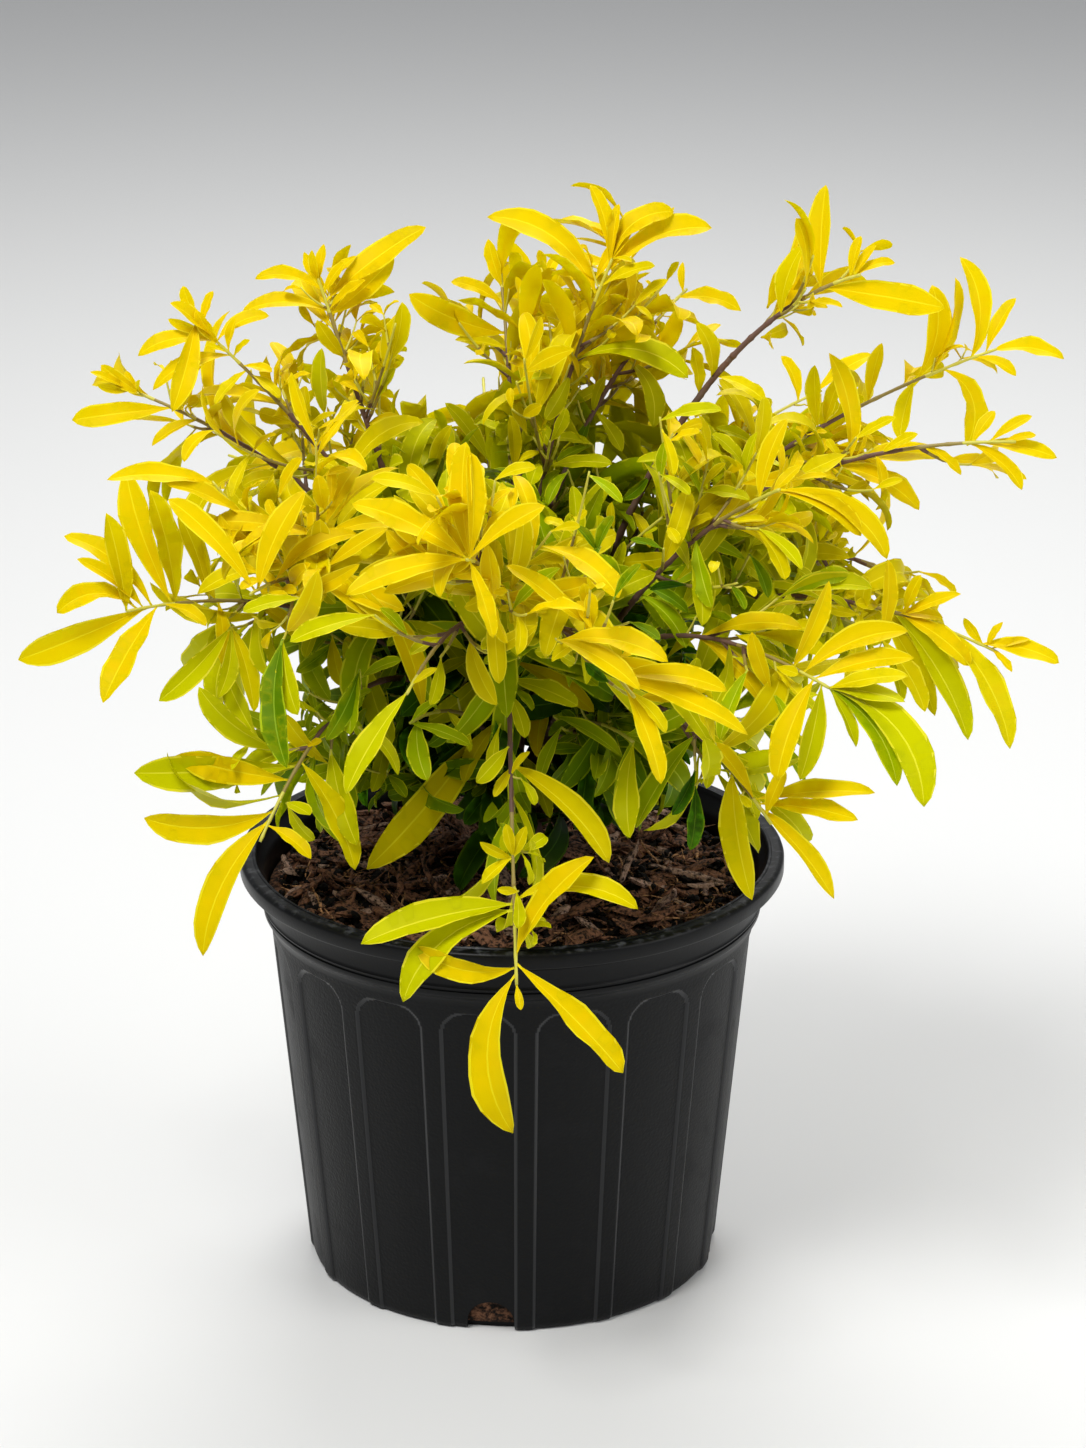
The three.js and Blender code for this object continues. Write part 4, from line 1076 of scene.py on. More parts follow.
class Finish:
    """A material being made: a Principled shader and the nodes that feed it."""

    def __init__(self, name, **sockets):
        self.material = bpy.data.materials.new(name)
        self.material.use_nodes = True
        self.tree = self.material.node_tree
        self.shader = self.tree.nodes["Principled BSDF"]
        self.coordinates = None
        for socket, value in sockets.items():
            self.feed(self.shader.inputs[socket.replace("_", " ")], value)
        colour = sockets.get("Base_Color")
        if isinstance(colour, tuple):
            self.material.diffuse_color = colour

    def feed(self, socket, value):
        """Sets a socket to a plain value, or links it to an expression."""
        if isinstance(value, Value):
            self.tree.links.new(value.socket, socket)
        else:
            socket.default_value = value

    def node(self, kind, settings, inputs):
        """Adds a node of a type: its settings first, then the values or links of its sockets."""
        made = self.tree.nodes.new(kind)
        for key, value in settings.items():
            setattr(made, key, value)
        for socket, value in inputs.items():
            self.feed(made.inputs[socket], value)
        return made

    def place(self):
        """Object coordinates, in metres."""
        if self.coordinates is None:
            self.coordinates = self.node("ShaderNodeTexCoord", {}, {})
        return Value(self, self.coordinates.outputs["Object"])

    def noise(self, scale, detail=3.0, roughness=0.5, where=None):
        """Noise of a number of waves a metre."""
        inputs = {"Vector": where or self.place(), "Scale": scale, "Detail": detail, "Roughness": roughness}
        return Value(self, self.node("ShaderNodeTexNoise", {}, inputs).outputs["Fac"])

    def cells(self, scale):
        """The distance to the nearest of scattered points, of a number a metre."""
        made = self.node("ShaderNodeTexVoronoi", {}, {"Vector": self.place(), "Scale": scale})
        return Value(self, made.outputs["Distance"])

    def stretched(self, x, y, z):
        """Object coordinates scaled along each axis."""
        made = self.node("ShaderNodeMapping", {}, {"Vector": self.place(), "Scale": (x, y, z)})
        return Value(self, made.outputs["Vector"])

    def height(self):
        """The height in metres."""
        return Value(self, self.node("ShaderNodeSeparateXYZ", {}, {"Vector": self.place()}).outputs["Z"])

    def between(self, value, low, high):
        """A value mapped smoothly from low and high to 0 and 1."""
        settings = {"interpolation_type": "SMOOTHSTEP"}
        inputs = {"Value": value, "From Min": low, "From Max": high}
        return Value(self, self.node("ShaderNodeMapRange", settings, inputs).outputs["Result"])

    def mix(self, share, first, second):
        """One colour going over to another by a share."""
        inputs = {0: share, 6: first, 7: second}
        made = self.node("ShaderNodeMix", {"data_type": "RGBA"}, inputs)
        return Value(self, made.outputs[2])

    def relief(self, height, depth, strength=1.0):
        """Bumps of a depth in metres on the surface."""
        made = self.node("ShaderNodeBump", {}, {"Strength": strength, "Distance": depth, "Height": height})
        self.feed(self.shader.inputs["Normal"], Value(self, made.outputs["Normal"]))

    def colour(self, value):
        self.feed(self.shader.inputs["Base Color"], value)

    def roughness(self, value):
        self.feed(self.shader.inputs["Roughness"], value)


def pot_finish(settings):
    """Black moulded plastic: a fine leathery grain on the wall, a smoother lip, faint scuffs that are partly
    a painted highlight on the lip's top, and dust.
    """
    finish = Finish("black_plastic", Specular_IOR_Level=0.16)
    wall = 1 - finish.between(finish.height(), 0.1865, 0.1885)
    dust = finish.between(finish.noise(38, 5, 0.62), 0.52, 0.75)
    lip = finish.between(finish.height(), 0.2215, 0.2234)
    # Lighter patches on the lip's top: partly scuffs and partly a painted highlight along the lip.
    worn = finish.between(finish.noise(170, 4, 0.6), 0.5, 0.68) * lip
    base = finish.mix(dust * 0.35, opaque(settings.colour), opaque(settings.dust))
    finish.colour(finish.mix(worn * 0.6, base, opaque(settings.scuff_and_highlight)))
    finish.roughness(dust * 0.12 + wall * 0.1 + settings.roughness)
    grain = finish.noise(820, 2, 0.5) + finish.cells(560) * 0.8
    finish.relief(grain * (wall * 0.85 + 0.15), 0.00028, 0.55)
    return finish.material


def soil_finish(settings):
    """Dark crumbly potting mix."""
    finish = Finish("potting_mix", Roughness=0.95, Specular_IOR_Level=0.2)
    lumps = finish.noise(260, 6, 0.7)
    finish.colour(finish.mix(finish.between(lumps, 0.4, 0.7), opaque(settings.dark), opaque(settings.brown)))
    finish.relief(lumps + finish.noise(900, 3, 0.6) * 0.5, 0.002)
    return finish.material


def chip_finish(name, colour, settings):
    """Shredded bark: one base colour, darker in the furrows between its fibres."""
    finish = Finish(name, Roughness=0.88, Specular_IOR_Level=0.25)
    fibres = finish.noise(420, 4, 0.65)
    finish.colour(finish.mix(finish.between(fibres, 0.36, 0.6), opaque(settings.dark), colour))
    finish.relief(fibres, 0.0012)
    return finish.material


def bark_finish(settings):
    """Thin woody bark: purple-brown with grey patches, pale raised pores and fine cracks along it."""
    finish = Finish("young_bark", Roughness=0.72, Specular_IOR_Level=0.3)
    patches = finish.between(finish.noise(70, 4, 0.6), 0.42, 0.66)
    pores = 1 - finish.between(finish.cells(240), 0.1, 0.24)
    fine = finish.noise(520, 4, 0.6, finish.stretched(1, 1, 0.35))
    base = finish.mix(patches * 0.7, opaque(settings.bark), opaque(settings.patches))
    finish.colour(finish.mix(pores * 0.55, base, opaque(settings.pores)))
    finish.relief(fine + pores * 0.6, 0.0006)
    return finish.material


# Pieces


def pot_wall(z):
    """The radius of the pot's wall outside at a height."""
    return POT_BASE + (POT_SHOULDER - POT_BASE) * z / POT_SHOULDER_Z


def pot_rows():
    """The pot's profile as (radius, height) rows: underside, wall, shoulder, and the rest up and inside."""
    under = [(40, 1.3), (93, 1.3), (94.6, 0.9), (95.4, 0.1), (96.2, 0.0), (103.3, 0.0), (105.2, 0.6),
             (106.3, 1.9)]
    heights = [3.6, 5, 8, 20, 50, 80, 110, 140, 160, 168] + list(np.arange(169.2, 186.2, 0.9))
    side = [(pot_wall(z), z) for z in heights]
    shoulder = [(124.6, 188.0), (125.1, 190.3), (126.0, 192.0), (127.2, 193.2), (128.0, 194.2),
                (128.25, 195.6), (128.25, 196.6), (127.5, 197.1), (127.5, 197.8), (128.6, 198.3),
                (128.75, 199.0), (128.3, 199.7), (128.25, 201.0), (128.4, 208.6), (128.75, 209.2),
                (128.75, 209.8), (128.3, 210.4), (128.5, 212.9)]
    lip = [(129.4, 213.9), (137.6, 214.0), (139.0, 214.4), (139.7, 215.4), (139.7, 220.9), (139.3, 222.1),
           (138.3, 222.8), (136.8, 223.1), (134.2, 222.9), (133.4, 222.9), (132.9, 223.4), (132.0, 223.5),
           (131.4, 222.9), (131.1, 221.4), (130.2, 218.6), (127.9, 215.2), (126.4, 212.4)]
    inside = [(126.0, 200.0), (125.2, 195.0), (122.9, 191.2)]
    inside += [(pot_wall(z) - POT_INSET, z) for z in (186.0, 150.0, 100.0, 50.0, 6.0)]
    floor = [(102.0, 3.4), (99.0, 3.0), (50.0, 3.0)]
    return under, side, shoulder, lip + inside + floor


def panel_depth(angle, radius, z, depth):
    """How deep a panel is cut at each point: its outline is a rectangle with rounded upper corners.

    The distance outside that outline is |max(q, 0)| + min(max(q), 0) - corner, for q the excess over the
    inner rectangle; the cut goes down smoothly over 1.5 mm inside it.
    """
    pitch = 360 / PANELS
    turn = (np.degrees(angle) - FRONT - PANEL_TURN) % pitch - pitch / 2
    half = radius * (pitch / 2 - STRIP_HALF) * DEGREE
    across = np.abs(radius * turn * DEGREE) - (half - PANEL_CORNER)
    above = z - (PANEL_TOP - PANEL_CORNER)
    outside = np.hypot(np.maximum(across, 0), np.maximum(above, 0))
    outside = outside + np.minimum(np.maximum(across, above), 0) - PANEL_CORNER
    return depth * smooth_step(0.0, 1.5, -outside)


def pot_angles():
    """Column angles round the pot, close together at the panels' edges and corners."""
    half = np.concatenate([[0.0, 0.8, 1.5], np.arange(2.05, 9.4, 0.42), [10.2]])
    pitch = 360 / PANELS
    offsets = np.concatenate([half, [pitch / 2], pitch - half[:0:-1]])
    turns = np.arange(PANELS)[:, None] * pitch + offsets[None, :]
    return (turns.ravel() + FRONT + PANEL_TURN) * DEGREE


def hole_cutter(turn):
    """An arched prism that runs in through the wall at the foot of the pot."""
    half = HOLES["width"] / 2
    swing = np.linspace(0, math.pi, 17)
    x = np.concatenate([[-half, half], half * np.cos(swing)])
    z = np.concatenate([[-2.0, -2.0], HOLES["height"] - half + half * np.sin(swing)])
    cos, sin = math.cos(turn * DEGREE), math.sin(turn * DEGREE)
    rings = []
    for y in (-POT_BASE - HOLES["reach"] / 2, -POT_BASE + HOLES["reach"] / 2):
        rings.append(np.stack([x * cos - y * sin, x * sin + y * cos, z], axis=1))
    count = len(x)
    around = np.arange(count)
    after = (around + 1) % count
    walls = np.stack([around + count, after + count, after, around], axis=1)
    mesh = bpy.data.meshes.new("hole_cutter")
    caps = [list(range(count)), list(range(2 * count - 1, count - 1, -1))]
    mesh.from_pydata((np.concatenate(rings) * MM).tolist(), [], walls.tolist() + caps)
    mesh.update()
    return add_object("hole_cutter", mesh)


def make_pot(settings):
    """The pot: a turned shell with panels pressed in round its wall, and arched drain holes cut out.

    The panels run down past the wall over the last three rows of the underside, which round off the foot,
    and the slopes of their edges take a lighter grey plastic as a painted highlight.
    """
    under, side, shoulder, inner = pot_rows()
    angles = pot_angles()
    rows = np.repeat(np.array(under + side + shoulder + inner)[:, None, :], len(angles), axis=1)
    pressed = np.arange(len(under) - 3, len(under) + len(side))
    radius, z = rows[pressed, :, 0], rows[pressed, :, 1]
    cut = np.zeros(rows.shape[:2])
    cut[pressed] = panel_depth(angles[None, :], radius, z, 1.0)
    rows[..., 0] -= cut * settings.panel_depth * 1000
    points, quads, fans = turned(rows, angles)
    # The faces on the slopes of the panels' edges take a lighter, glossier plastic: a painted highlight along
    # each edge.
    corners = cut.ravel()[quads]
    edges = (corners.max(axis=1) > 0.2) & (corners.min(axis=1) < 0.8)
    edge_highlight_finish = Finish("worn_plastic_edge", Base_Color=opaque(settings.edge), Roughness=0.3,
                         Specular_IOR_Level=0.35)
    finishes = [pot_finish(settings), edge_highlight_finish.material]
    groups = [(quads, edges.astype(int)), (fans, 0)]
    piece = build_piece("nursery_pot", points, groups, finishes, "pot_plastic", ["pot"])
    cutters = [hole_cutter(HOLES["turn"] + 360 / HOLES["count"] * k) for k in range(HOLES["count"])]
    for cutter in cutters:
        drill = piece.modifiers.new("drain_hole", "BOOLEAN")
        drill.operation, drill.solver, drill.object = "DIFFERENCE", "MANIFOLD", cutter
    bpy.context.view_layer.update()
    shape = bpy.data.meshes.new_from_object(piece.evaluated_get(bpy.context.evaluated_depsgraph_get()))
    piece.modifiers.clear()
    piece.data = shape
    for cutter in cutters:
        bpy.data.objects.remove(cutter)
    shape.set_sharp_from_angle(angle=38 * DEGREE)
    return piece


def make_bed(settings):
    """The potting mix: a rough heaped surface inside the pot, over a root ball that follows its wall."""
    angles = np.linspace(0, math.tau, 160, endpoint=False)

    def inside(z):
        return pot_wall(z) - POT_INSET - BED_PLAY

    side = [(60.0, 3.5), (inside(4) - 1, 3.5), (inside(6), 6.0), (inside(60), 60.0), (inside(120), 120.0),
            (inside(186), 186.0), (124.4, 198.0), (125.2, 203.0)]
    top = [(reach, SOIL_TOP) for reach in np.linspace(124.6, 6, 44)]
    rows = np.repeat(np.array(side + top)[:, None, :], len(angles), axis=1)
    reach = rows[len(side):, :, 0]
    rows[len(side):, :, 1] = bed_height(reach * np.cos(angles), reach * np.sin(angles))
    points, quads, fans = turned(rows, angles)
    groups = [(quads, 0), (fans, 0)]
    return build_piece("potting_mix", points, groups, [soil_finish(settings)], "mulch", ["soil"])


def bed_height(x, y):
    """The height of the potting mix's surface: a low heap with three sizes of ripple, level at the wall."""
    reach = np.hypot(x, y)
    rough = 2.2 * ripple(x, y, 46, 3) + 1.3 * ripple(x, y, 17, 4) + 0.8 * ripple(x, y, 6, 5)
    return SOIL_TOP - 2.0 + rough * smooth_step(126, 112, reach) - 3.5 * smooth_step(60, 124, reach)


def shards(count, seed, length, width, thickness, tilt, ragged):
    """Many torn slivers: each a bent, flattened tube of six sides whose width, edges and ends are uneven.

    length, width and thickness are ranges in mm, tilt is a spread in degrees and ragged a share of the width.
    """
    rng = np.random.default_rng(seed)
    long = rng.uniform(*length, count) / 2
    wide, thick = rng.uniform(*width, count) / 2, rng.uniform(*thickness, count) / 2
    azimuth, heading = rng.uniform(0, math.tau, (2, count))
    reach = BED_REACH - 0.75 * long * np.abs(np.cos(azimuth - heading)) - wide
    reach = reach * np.sqrt(rng.uniform(0, 1, count))
    x, y = reach * np.cos(azimuth), reach * np.sin(azimuth)
    along = np.stack([np.cos(heading), np.sin(heading), np.tan(rng.normal(0, tilt, count) * DEGREE)], axis=1)
    along = unit(along)
    side = unit(np.cross(UP + rng.normal(0, 0.28, (count, 3)), along))
    normal = np.cross(along, side)
    lift = np.abs(along[:, 2]) * long * 0.7 + thick * 0.4 + rng.exponential(1.2, count)
    centre = np.stack([x, y, bed_height(x, y) + lift], axis=1)
    steps, sides = 6, 6
    s = np.linspace(-1, 1, steps)
    angle = np.arange(sides) * math.tau / sides
    end = (1 - np.abs(s)[None, :] ** 3 * rng.uniform(0.3, 0.95, (count, 1)))
    swell = end * (1 + ragged * rng.uniform(-1, 1, (count, steps)))
    bend = rng.normal(0, 0.12, (count, 1)) * s[None, :] ** 2
    path = centre[:, None, :] + along[:, None, :] * (long[:, None] * s)[..., None]
    path = path + normal[:, None, :] * (long[:, None] * bend)[..., None]
    path = path + side[:, None, :] * (long[:, None] * rng.normal(0, 0.06, (count, steps)))[..., None]
    jitter = 1 + ragged * rng.uniform(-0.5, 0.5, (count, steps, sides))
    across = (wide[:, None] * swell)[..., None] * np.cos(angle) * jitter
    through = (thick[:, None] * swell)[..., None] * np.sin(angle) * jitter
    points = path[:, :, None, :] + side[:, None, None, :] * across[..., None]
    points = points + normal[:, None, None, :] * through[..., None]
    return (points.reshape(-1, 3), *tube_faces(count, steps, sides))


def make_chips(settings):
    """The bark mulch: chunky chips, thin slivers and loose fibres scattered over the potting mix.

    Each kind has its colour, its count and seed, its length, width and thickness in mm, its tilt in degrees
    and how ragged it is.
    """
    chips = settings.chips
    kinds = (
        ("bark_chip", settings.brown, chips, 11, (14, 40), (4, 10), (2.2, 4.6), 18, 0.3),
        ("bark_chip_grey", settings.grey_brown, chips // 2, 12, (12, 34), (3, 8), (1.6, 4.0), 20, 0.3),
        ("bark_sliver", settings.brown, chips * 2, 13, (8, 26), (1.6, 4.0), (0.9, 2.2), 22, 0.35),
        ("bark_fibre", settings.tan, chips * 3 // 2, 14, (9, 30), (0.6, 1.6), (0.5, 1.2), 20, 0.3),
        ("soil_crumb", settings.dark, chips * 6, 15, (3, 9), (2.0, 5.0), (1.6, 4.0), 28, 0.45),
    )
    parts, materials = Parts(), []
    for number, (name, colour, *shape) in enumerate(kinds):
        points, quads, caps = shards(*shape)
        parts.add(points, (quads, number), (caps, number))
        materials.append(chip_finish(name, opaque(colour), settings))
    return parts.build("bark_mulch", materials, "mulch", smooth=False)


def stem_tube(stem, rng):
    """The main stem: its taper, with five buttresses at its foot and shallow furrows that wind up it."""
    steps, sides = 40, 32
    radii = np.interp(np.linspace(0, 1, steps), np.linspace(0, 1, len(STEM_RADII)), STEM_RADII)[None]
    angle = np.arange(sides) * math.tau / sides
    level = np.linspace(0, 1, steps)[:, None]
    furrows = 0.34 * np.sin(7 * angle + 2.2 * np.sin(3 * level * math.pi))
    furrows = furrows + 0.22 * np.sin(12 * angle - 5 * level)
    buttress = 1.5 * np.exp(-level * 7) * np.sin(5 * angle + 0.8)
    relief = (furrows + buttress + rng.normal(0, 0.09, (steps, sides)))[None]
    return tubes(stem[None], np.array([-0.03]), np.array([1.04]), radii, sides, relief)


def bough_tubes(boughs, rng):
    """The boughs, with collars at the forks and rings at the old leaf joints.

    A radius falls evenly from root to tip. It is 1 + 0.7 e^(-d/4) times that at a distance d from the root,
    and again 1 + 0.16 e^(-(d/1.3)^2) times that at a distance d from a joint, all in mm.
    """
    steps, sides = 90, 12
    curves, starts, ends, lengths = axis_arrays(boughs)
    share = np.linspace(0, 1, steps)[None, :]
    root, tip = SLIMNESS * np.array([axis.radii for axis in boughs]).T[:, :, None]
    distance = share * lengths
    radii = (root + (tip - root) * share) * (1 + 0.7 * np.exp(-distance / 4))
    offset = (distance + 7 * draws(np.arange(len(boughs)), 51)[:, None]) % JOINT_STEP - JOINT_STEP / 2
    radii = radii * (1 + 0.16 * np.exp(-(offset / 1.3) ** 2))
    relief = 0.06 * radii[..., None] * rng.normal(0, 1, (len(boughs), steps, sides))
    return tubes(curves, starts, ends + 0.004, radii, sides, relief)


def make_limbs(settings, leafage):
    """The main stem and the boughs, with their bark's relief."""
    grown = crown(leafage)
    rng = np.random.default_rng(8)
    parts = Parts()
    for points, quads, caps in (stem_tube(grown["stem"], rng), bough_tubes(grown["boughs"], rng)):
        parts.add(points, (quads, 0), (caps, 0))
    return parts.build("stem_and_boughs", [bark_finish(settings)], "bark", ["main_stem"] + BOUGH_NODES)


def make_twigs(settings, leafage):
    """The leafy shoots, side twigs and spurs: thin tubes, brown at the root, then olive, then yellow-green.

    At a distance d in mm from a pair of leaves, a shoot or twig is 1 + 0.3 e^(-(d/1.4)^2) times as thick.
    """
    grown = crown(leafage)
    kinds = (("shoots", 56, 8, (0.6, 0.84)), ("twigs", 26, 7, (0.2, 0.6)), ("spurs", 7, 6, (0.0, 0.15)))
    parts = Parts()
    for key, steps, sides, (brown, olive) in kinds:
        axes = grown[key]
        curves, starts, ends, lengths = axis_arrays(axes)
        share = np.linspace(0, 1, steps)[None, :]
        root, tip = np.array([axis.radii for axis in axes]).T[:, :, None]
        radii = root + (tip - root) * share
        if key != "spurs":
            step = leafage.step * 1000 * (TWIG_STEP_SHARE if key == "twigs" else 1.0)
            joints = pair_back(np.arange(MOST_JOINTS)[:, None, None], step)
            near = np.abs((lengths * (1 - share))[None] - joints).min(axis=0)
            radii = radii * (1 + 0.3 * np.exp(-(near / 1.4) ** 2))
        points, quads, caps = tubes(curves, starts - 0.002, ends, radii, sides)
        level = np.tile(np.repeat((np.arange(steps - 1) + 0.5) / (steps - 1), sides), len(axes))
        level = level + np.repeat(0.12 * (draws(np.arange(len(axes)), 61) - 0.5), (steps - 1) * sides)
        materials = np.where(level < brown, 0, np.where(level < olive, 1, 2))
        parts.add(points, (quads, materials), (caps, np.repeat([0, 2], len(axes))))
    finishes = [
        Finish("woody_twig", Base_Color=opaque(settings.bark), Roughness=0.6).material,
        Finish("olive_twig", Base_Color=opaque(settings.olive), Roughness=0.5).material,
        Finish("green_twig", Base_Color=opaque(settings.green), Roughness=0.42).material,
    ]
    return parts.build("green_twigs", finishes, "foliage", FOLIAGE_NODES)


def cover(middle):
    """How many leaves stand between each leaf and the light, which comes from above and outside."""
    out = LIGHT_SLANT * unit(middle * np.array([1.0, 1.0, 0.0]))
    way = unit(UP + out * np.minimum(np.hypot(*middle.T[:2]) / SLANT_REACH, 1)[:, None])
    count = np.zeros(len(middle))
    for first in range(0, len(middle), 400):
        part = slice(first, first + 400)
        away = middle[None] - middle[part, None]
        distance = np.linalg.norm(away, axis=-1)
        ahead = (away * way[part, None]).sum(axis=-1)
        shades = (ahead > SHADE_FROM) & (distance < SHADE_REACH) & (ahead > SHADE_CONE * distance)
        count[part] = shades.sum(axis=1)
    return count


def leaf_tints(leaves, middle):
    """Which tint each leaf takes: golden where well lit, and greener under more other leaves, partly as
    painted shade.

    The leaves are put in order by their cover, evened out over each spray, and by how deep in the crown they
    are, with a draw for each spray and each leaf. The tints are dealt out along that order by their shares.
    """
    shade = np.sqrt(cover(middle))
    shade = shade / shade.max()
    _, spray = np.unique(leaves["spray"], return_inverse=True)
    mean = (np.bincount(spray, shade) / np.bincount(spray))[spray]
    number = np.arange(len(shade))
    deep = 1 - smooth_step(*GOLDEN_REACH, np.linalg.norm(middle - np.array(STEM_HEAD), axis=1))
    shade = 0.5 * shade + 0.4 * mean + 1.3 * deep + 0.25 * leaves["old"] - 0.16 * leaves["young"]
    shade = shade + 0.15 * (draws(leaves["spray"], 71) - 0.5)
    shade = shade + 0.25 * (draws(leaves["spray"], number, 72) - 0.5)
    rank = np.empty(len(shade))
    rank[np.argsort(shade)] = np.linspace(0, 1, len(shade), endpoint=False)
    tints = np.searchsorted(np.cumsum(TINT_SHARES)[:-1], rank, side="right")
    return np.where(leaves["seen"] > 0, leaves["tint"], tints)


def leaf_ways(leaves, s, twist):
    """Each leaf's ways to the right and out of its upper face at its shares s: bent, swayed and twisted."""
    lean = lean_of(leaves["bend"][:, None] * DEGREE, s)[..., None]
    turn = (leaves["sway"][:, None] * s)[..., None]
    leave, face = leaves["leave"][:, None, :], leaves["face"][:, None, :]
    side = np.cross(leave, face)
    upper = face * np.cos(lean) + (leave * np.cos(turn) + side * np.sin(turn)) * np.sin(lean)
    side = side * np.cos(turn) - leave * np.sin(turn)
    twist = twist[..., None]
    return side * np.cos(twist) + upper * np.sin(twist), upper * np.cos(twist) - side * np.sin(twist)


def half_widths(leaves, s, full_width, scatter):
    """Half of each leaf's width at its shares s.

    It is s^a (1-s)^b over its peak, from the stalk's end on, uneven by a wave along the leaf, and no less
    than the stalk's own.
    """
    size, seen, rounded = (leaves[key][:, None] for key in ("size", "seen", "round"))
    blade = np.clip((s - 0.02) / 0.98, 0, 1)
    rise = scatter(80, 0.85, 1.2) + 0.4 * rounded
    fall = scatter(79, 0.6, 0.82) - 0.2 * rounded
    peak = rise / (rise + fall)
    outline = (blade / peak) ** rise * ((1 - blade) / (1 - peak)) ** fall
    half = full_width / 2 * size ** 0.75 * scatter(83, 0.84, 1.1)
    half = half * (1 + 0.45 * rounded) * (1 + 0.07 * seen)
    uneven = 1 + 0.035 * np.sin(scatter(78, 0, math.tau) + 17 * s) * smooth_step(0.2, 0.5, s)
    stalk = (0.4 + 0.25 * size) * np.clip(1 - 3 * s, 0, 1) ** 0.7 + 0.1
    return np.maximum(half * outline * uneven, stalk)


def leaf_mesh(leaves, rows, settings):
    """Points of every leaf, (leaves, rows, 9, 3): six across the upper side and three across the lower.

    Across, each half rises by the fold and swings up and down by a sine along the leaf, most at its margin.
    The underside hangs from the margins to a keel below the midrib that thins towards the tip.
    """
    number = np.arange(len(leaves["bend"]))

    def scatter(key, low, high):
        return (low + (high - low) * draws(leaves["spray"], number, key))[:, None]

    s = rows[None, :]
    size = leaves["size"][:, None]
    centre = midrib(leaves, rows, settings.length * 1000)
    twist = scatter(82, -32, 32) * (1 - 0.7 * leaves["seen"][:, None]) * DEGREE * s
    right, upper = leaf_ways(leaves, s, twist)
    width = half_widths(leaves, s, settings.width * 1000, scatter)[..., None]
    v = LEAF_COLUMNS[None, None, :]
    fold = (scatter(84, 12, 38) * DEGREE)[..., None] * (1 - 0.35 * s[..., None])
    waves, phase = scatter(86, 1.3, 2.9)[..., None], scatter(87, 0, math.tau)[..., None]
    swing = np.sin(math.tau * waves * s[..., None] + phase + (v > 0) * 1.9)
    wave = scatter(88, 0.04, 0.2)[..., None] * np.abs(v) * swing
    height = (np.abs(v) * np.sin(fold) + wave) * width
    across = v * np.cos(fold) * width
    top = centre[:, :, None, :] + right[:, :, None, :] * across[..., None]
    top = top + upper[:, :, None, :] * height[..., None]
    keel = (0.35 + 0.25 * size) * (1 - 0.85 * s)
    low = centre - upper * np.maximum(keel, 0.1)[..., None]
    return np.concatenate([top, top[:, :, :1], low[:, :, None, :], top[:, :, 5:]], axis=2)


def leaf_faces(tints, rows):
    """The faces and materials of leaves: margins, blades and rib above, the underside, and both ends."""
    across = 9
    offsets = (np.arange(len(tints)) * rows * across)[:, None]
    row = np.arange(rows - 1)[:, None] * across
    upper = np.arange(5)[None, :]
    top = np.stack([row + upper, row + upper + 1, row + across + upper + 1, row + across + upper], axis=-1)
    lower = np.array([6, 7])[None, :]
    under = np.stack([row + across + lower, row + across + lower + 1, row + lower + 1, row + lower], axis=-1)
    blade, rib, margin, below = (tints[:, None, None] * len(LEAF_PARTS) + k for k in range(4))
    stalk = np.arange(rows - 1)[:, None] == 0
    column = np.array([2, 0, 1, 0, 2])[None, :]
    kind = np.where(stalk, 1, column)[None]
    top_material = np.where(kind == 0, blade, np.where(kind == 1, rib, margin))
    under_material = below + np.zeros((rows - 1, 2), dtype=int)[None]
    first = np.array([[0, 7, 5, 4, 3, 2, 1]])
    last = (rows - 1) * across + np.array([[1, 2, 3, 4, 5, 7, 0]])
    return [
        ((top.reshape(1, -1, 4) + offsets[..., None]).reshape(-1, 4), top_material.ravel()),
        ((under.reshape(1, -1, 4) + offsets[..., None]).reshape(-1, 4), under_material.ravel()),
        (first + offsets, rib[:, 0, 0]),
        (last + offsets, rib[:, 0, 0]),
    ]


def leaf_materials(settings):
    """A plain material for each part of a leaf in each tint."""
    made = []
    for number, tint in enumerate(TINTS):
        for part, colour in zip(LEAF_PARTS, tint):
            rough = settings.roughness + (0.1 if part == "under" else 0)
            finish = Finish(f"leaf_{number}_{part}", Base_Color=screen(*colour), Roughness=rough,
                            Specular_IOR_Level=settings.gloss, Specular_Tint=screen(255, 240, 150),
                            Subsurface_Weight=settings.glow, Subsurface_Radius=(1.0, 1.0, 0.2),
                            Subsurface_Scale=0.002)
            made.append(finish.material)
    return made


def make_leaves(settings):
    """All the leaves, in pieces that each stand for the masses whose leaves they hold."""
    leaves = crown(settings)["leaves"]
    order = np.argsort(leaves["mass"], kind="stable")
    leaves = {key: values[order] for key, values in leaves.items()}
    middle = midrib(leaves, (0.5,), settings.length * 1000)[:, 0]
    tints = leaf_tints(leaves, middle)
    materials = leaf_materials(settings)
    large = leaves["size"] >= LARGE_LEAF
    for number, first in enumerate(range(0, len(tints), PIECE_LEAVES), start=1):
        part = np.arange(first, min(first + PIECE_LEAVES, len(tints)))
        parts = Parts()
        for rows, some in ((LARGE_ROWS, part[large[part]]), (SMALL_ROWS, part[~large[part]])):
            points = leaf_mesh({key: values[some] for key, values in leaves.items()}, rows, settings)
            parts.add(points.reshape(-1, 3), *leaf_faces(tints[some], len(rows)))
        nodes = ["foliage_" + MASSES[mass] for mass in np.unique(leaves["mass"][part])]
        parts.build(f"leaves_{number}", materials, "foliage", nodes)


def make_floor(settings):
    """A pale floor, which isn't part of the object."""
    floor = Finish("pale_floor", Base_Color=opaque(settings.floor), Roughness=0.7)
    mesh = bpy.data.meshes.new("floor")
    far = FLOOR_HALF
    corners = [(-far, -far, 0), (far, -far, 0), (far, far, 0), (-far, far, 0)]
    mesh.from_pydata(corners, [], [(0, 1, 2, 3)])
    mesh.materials.append(floor.material)
    ground = add_object("floor", mesh)


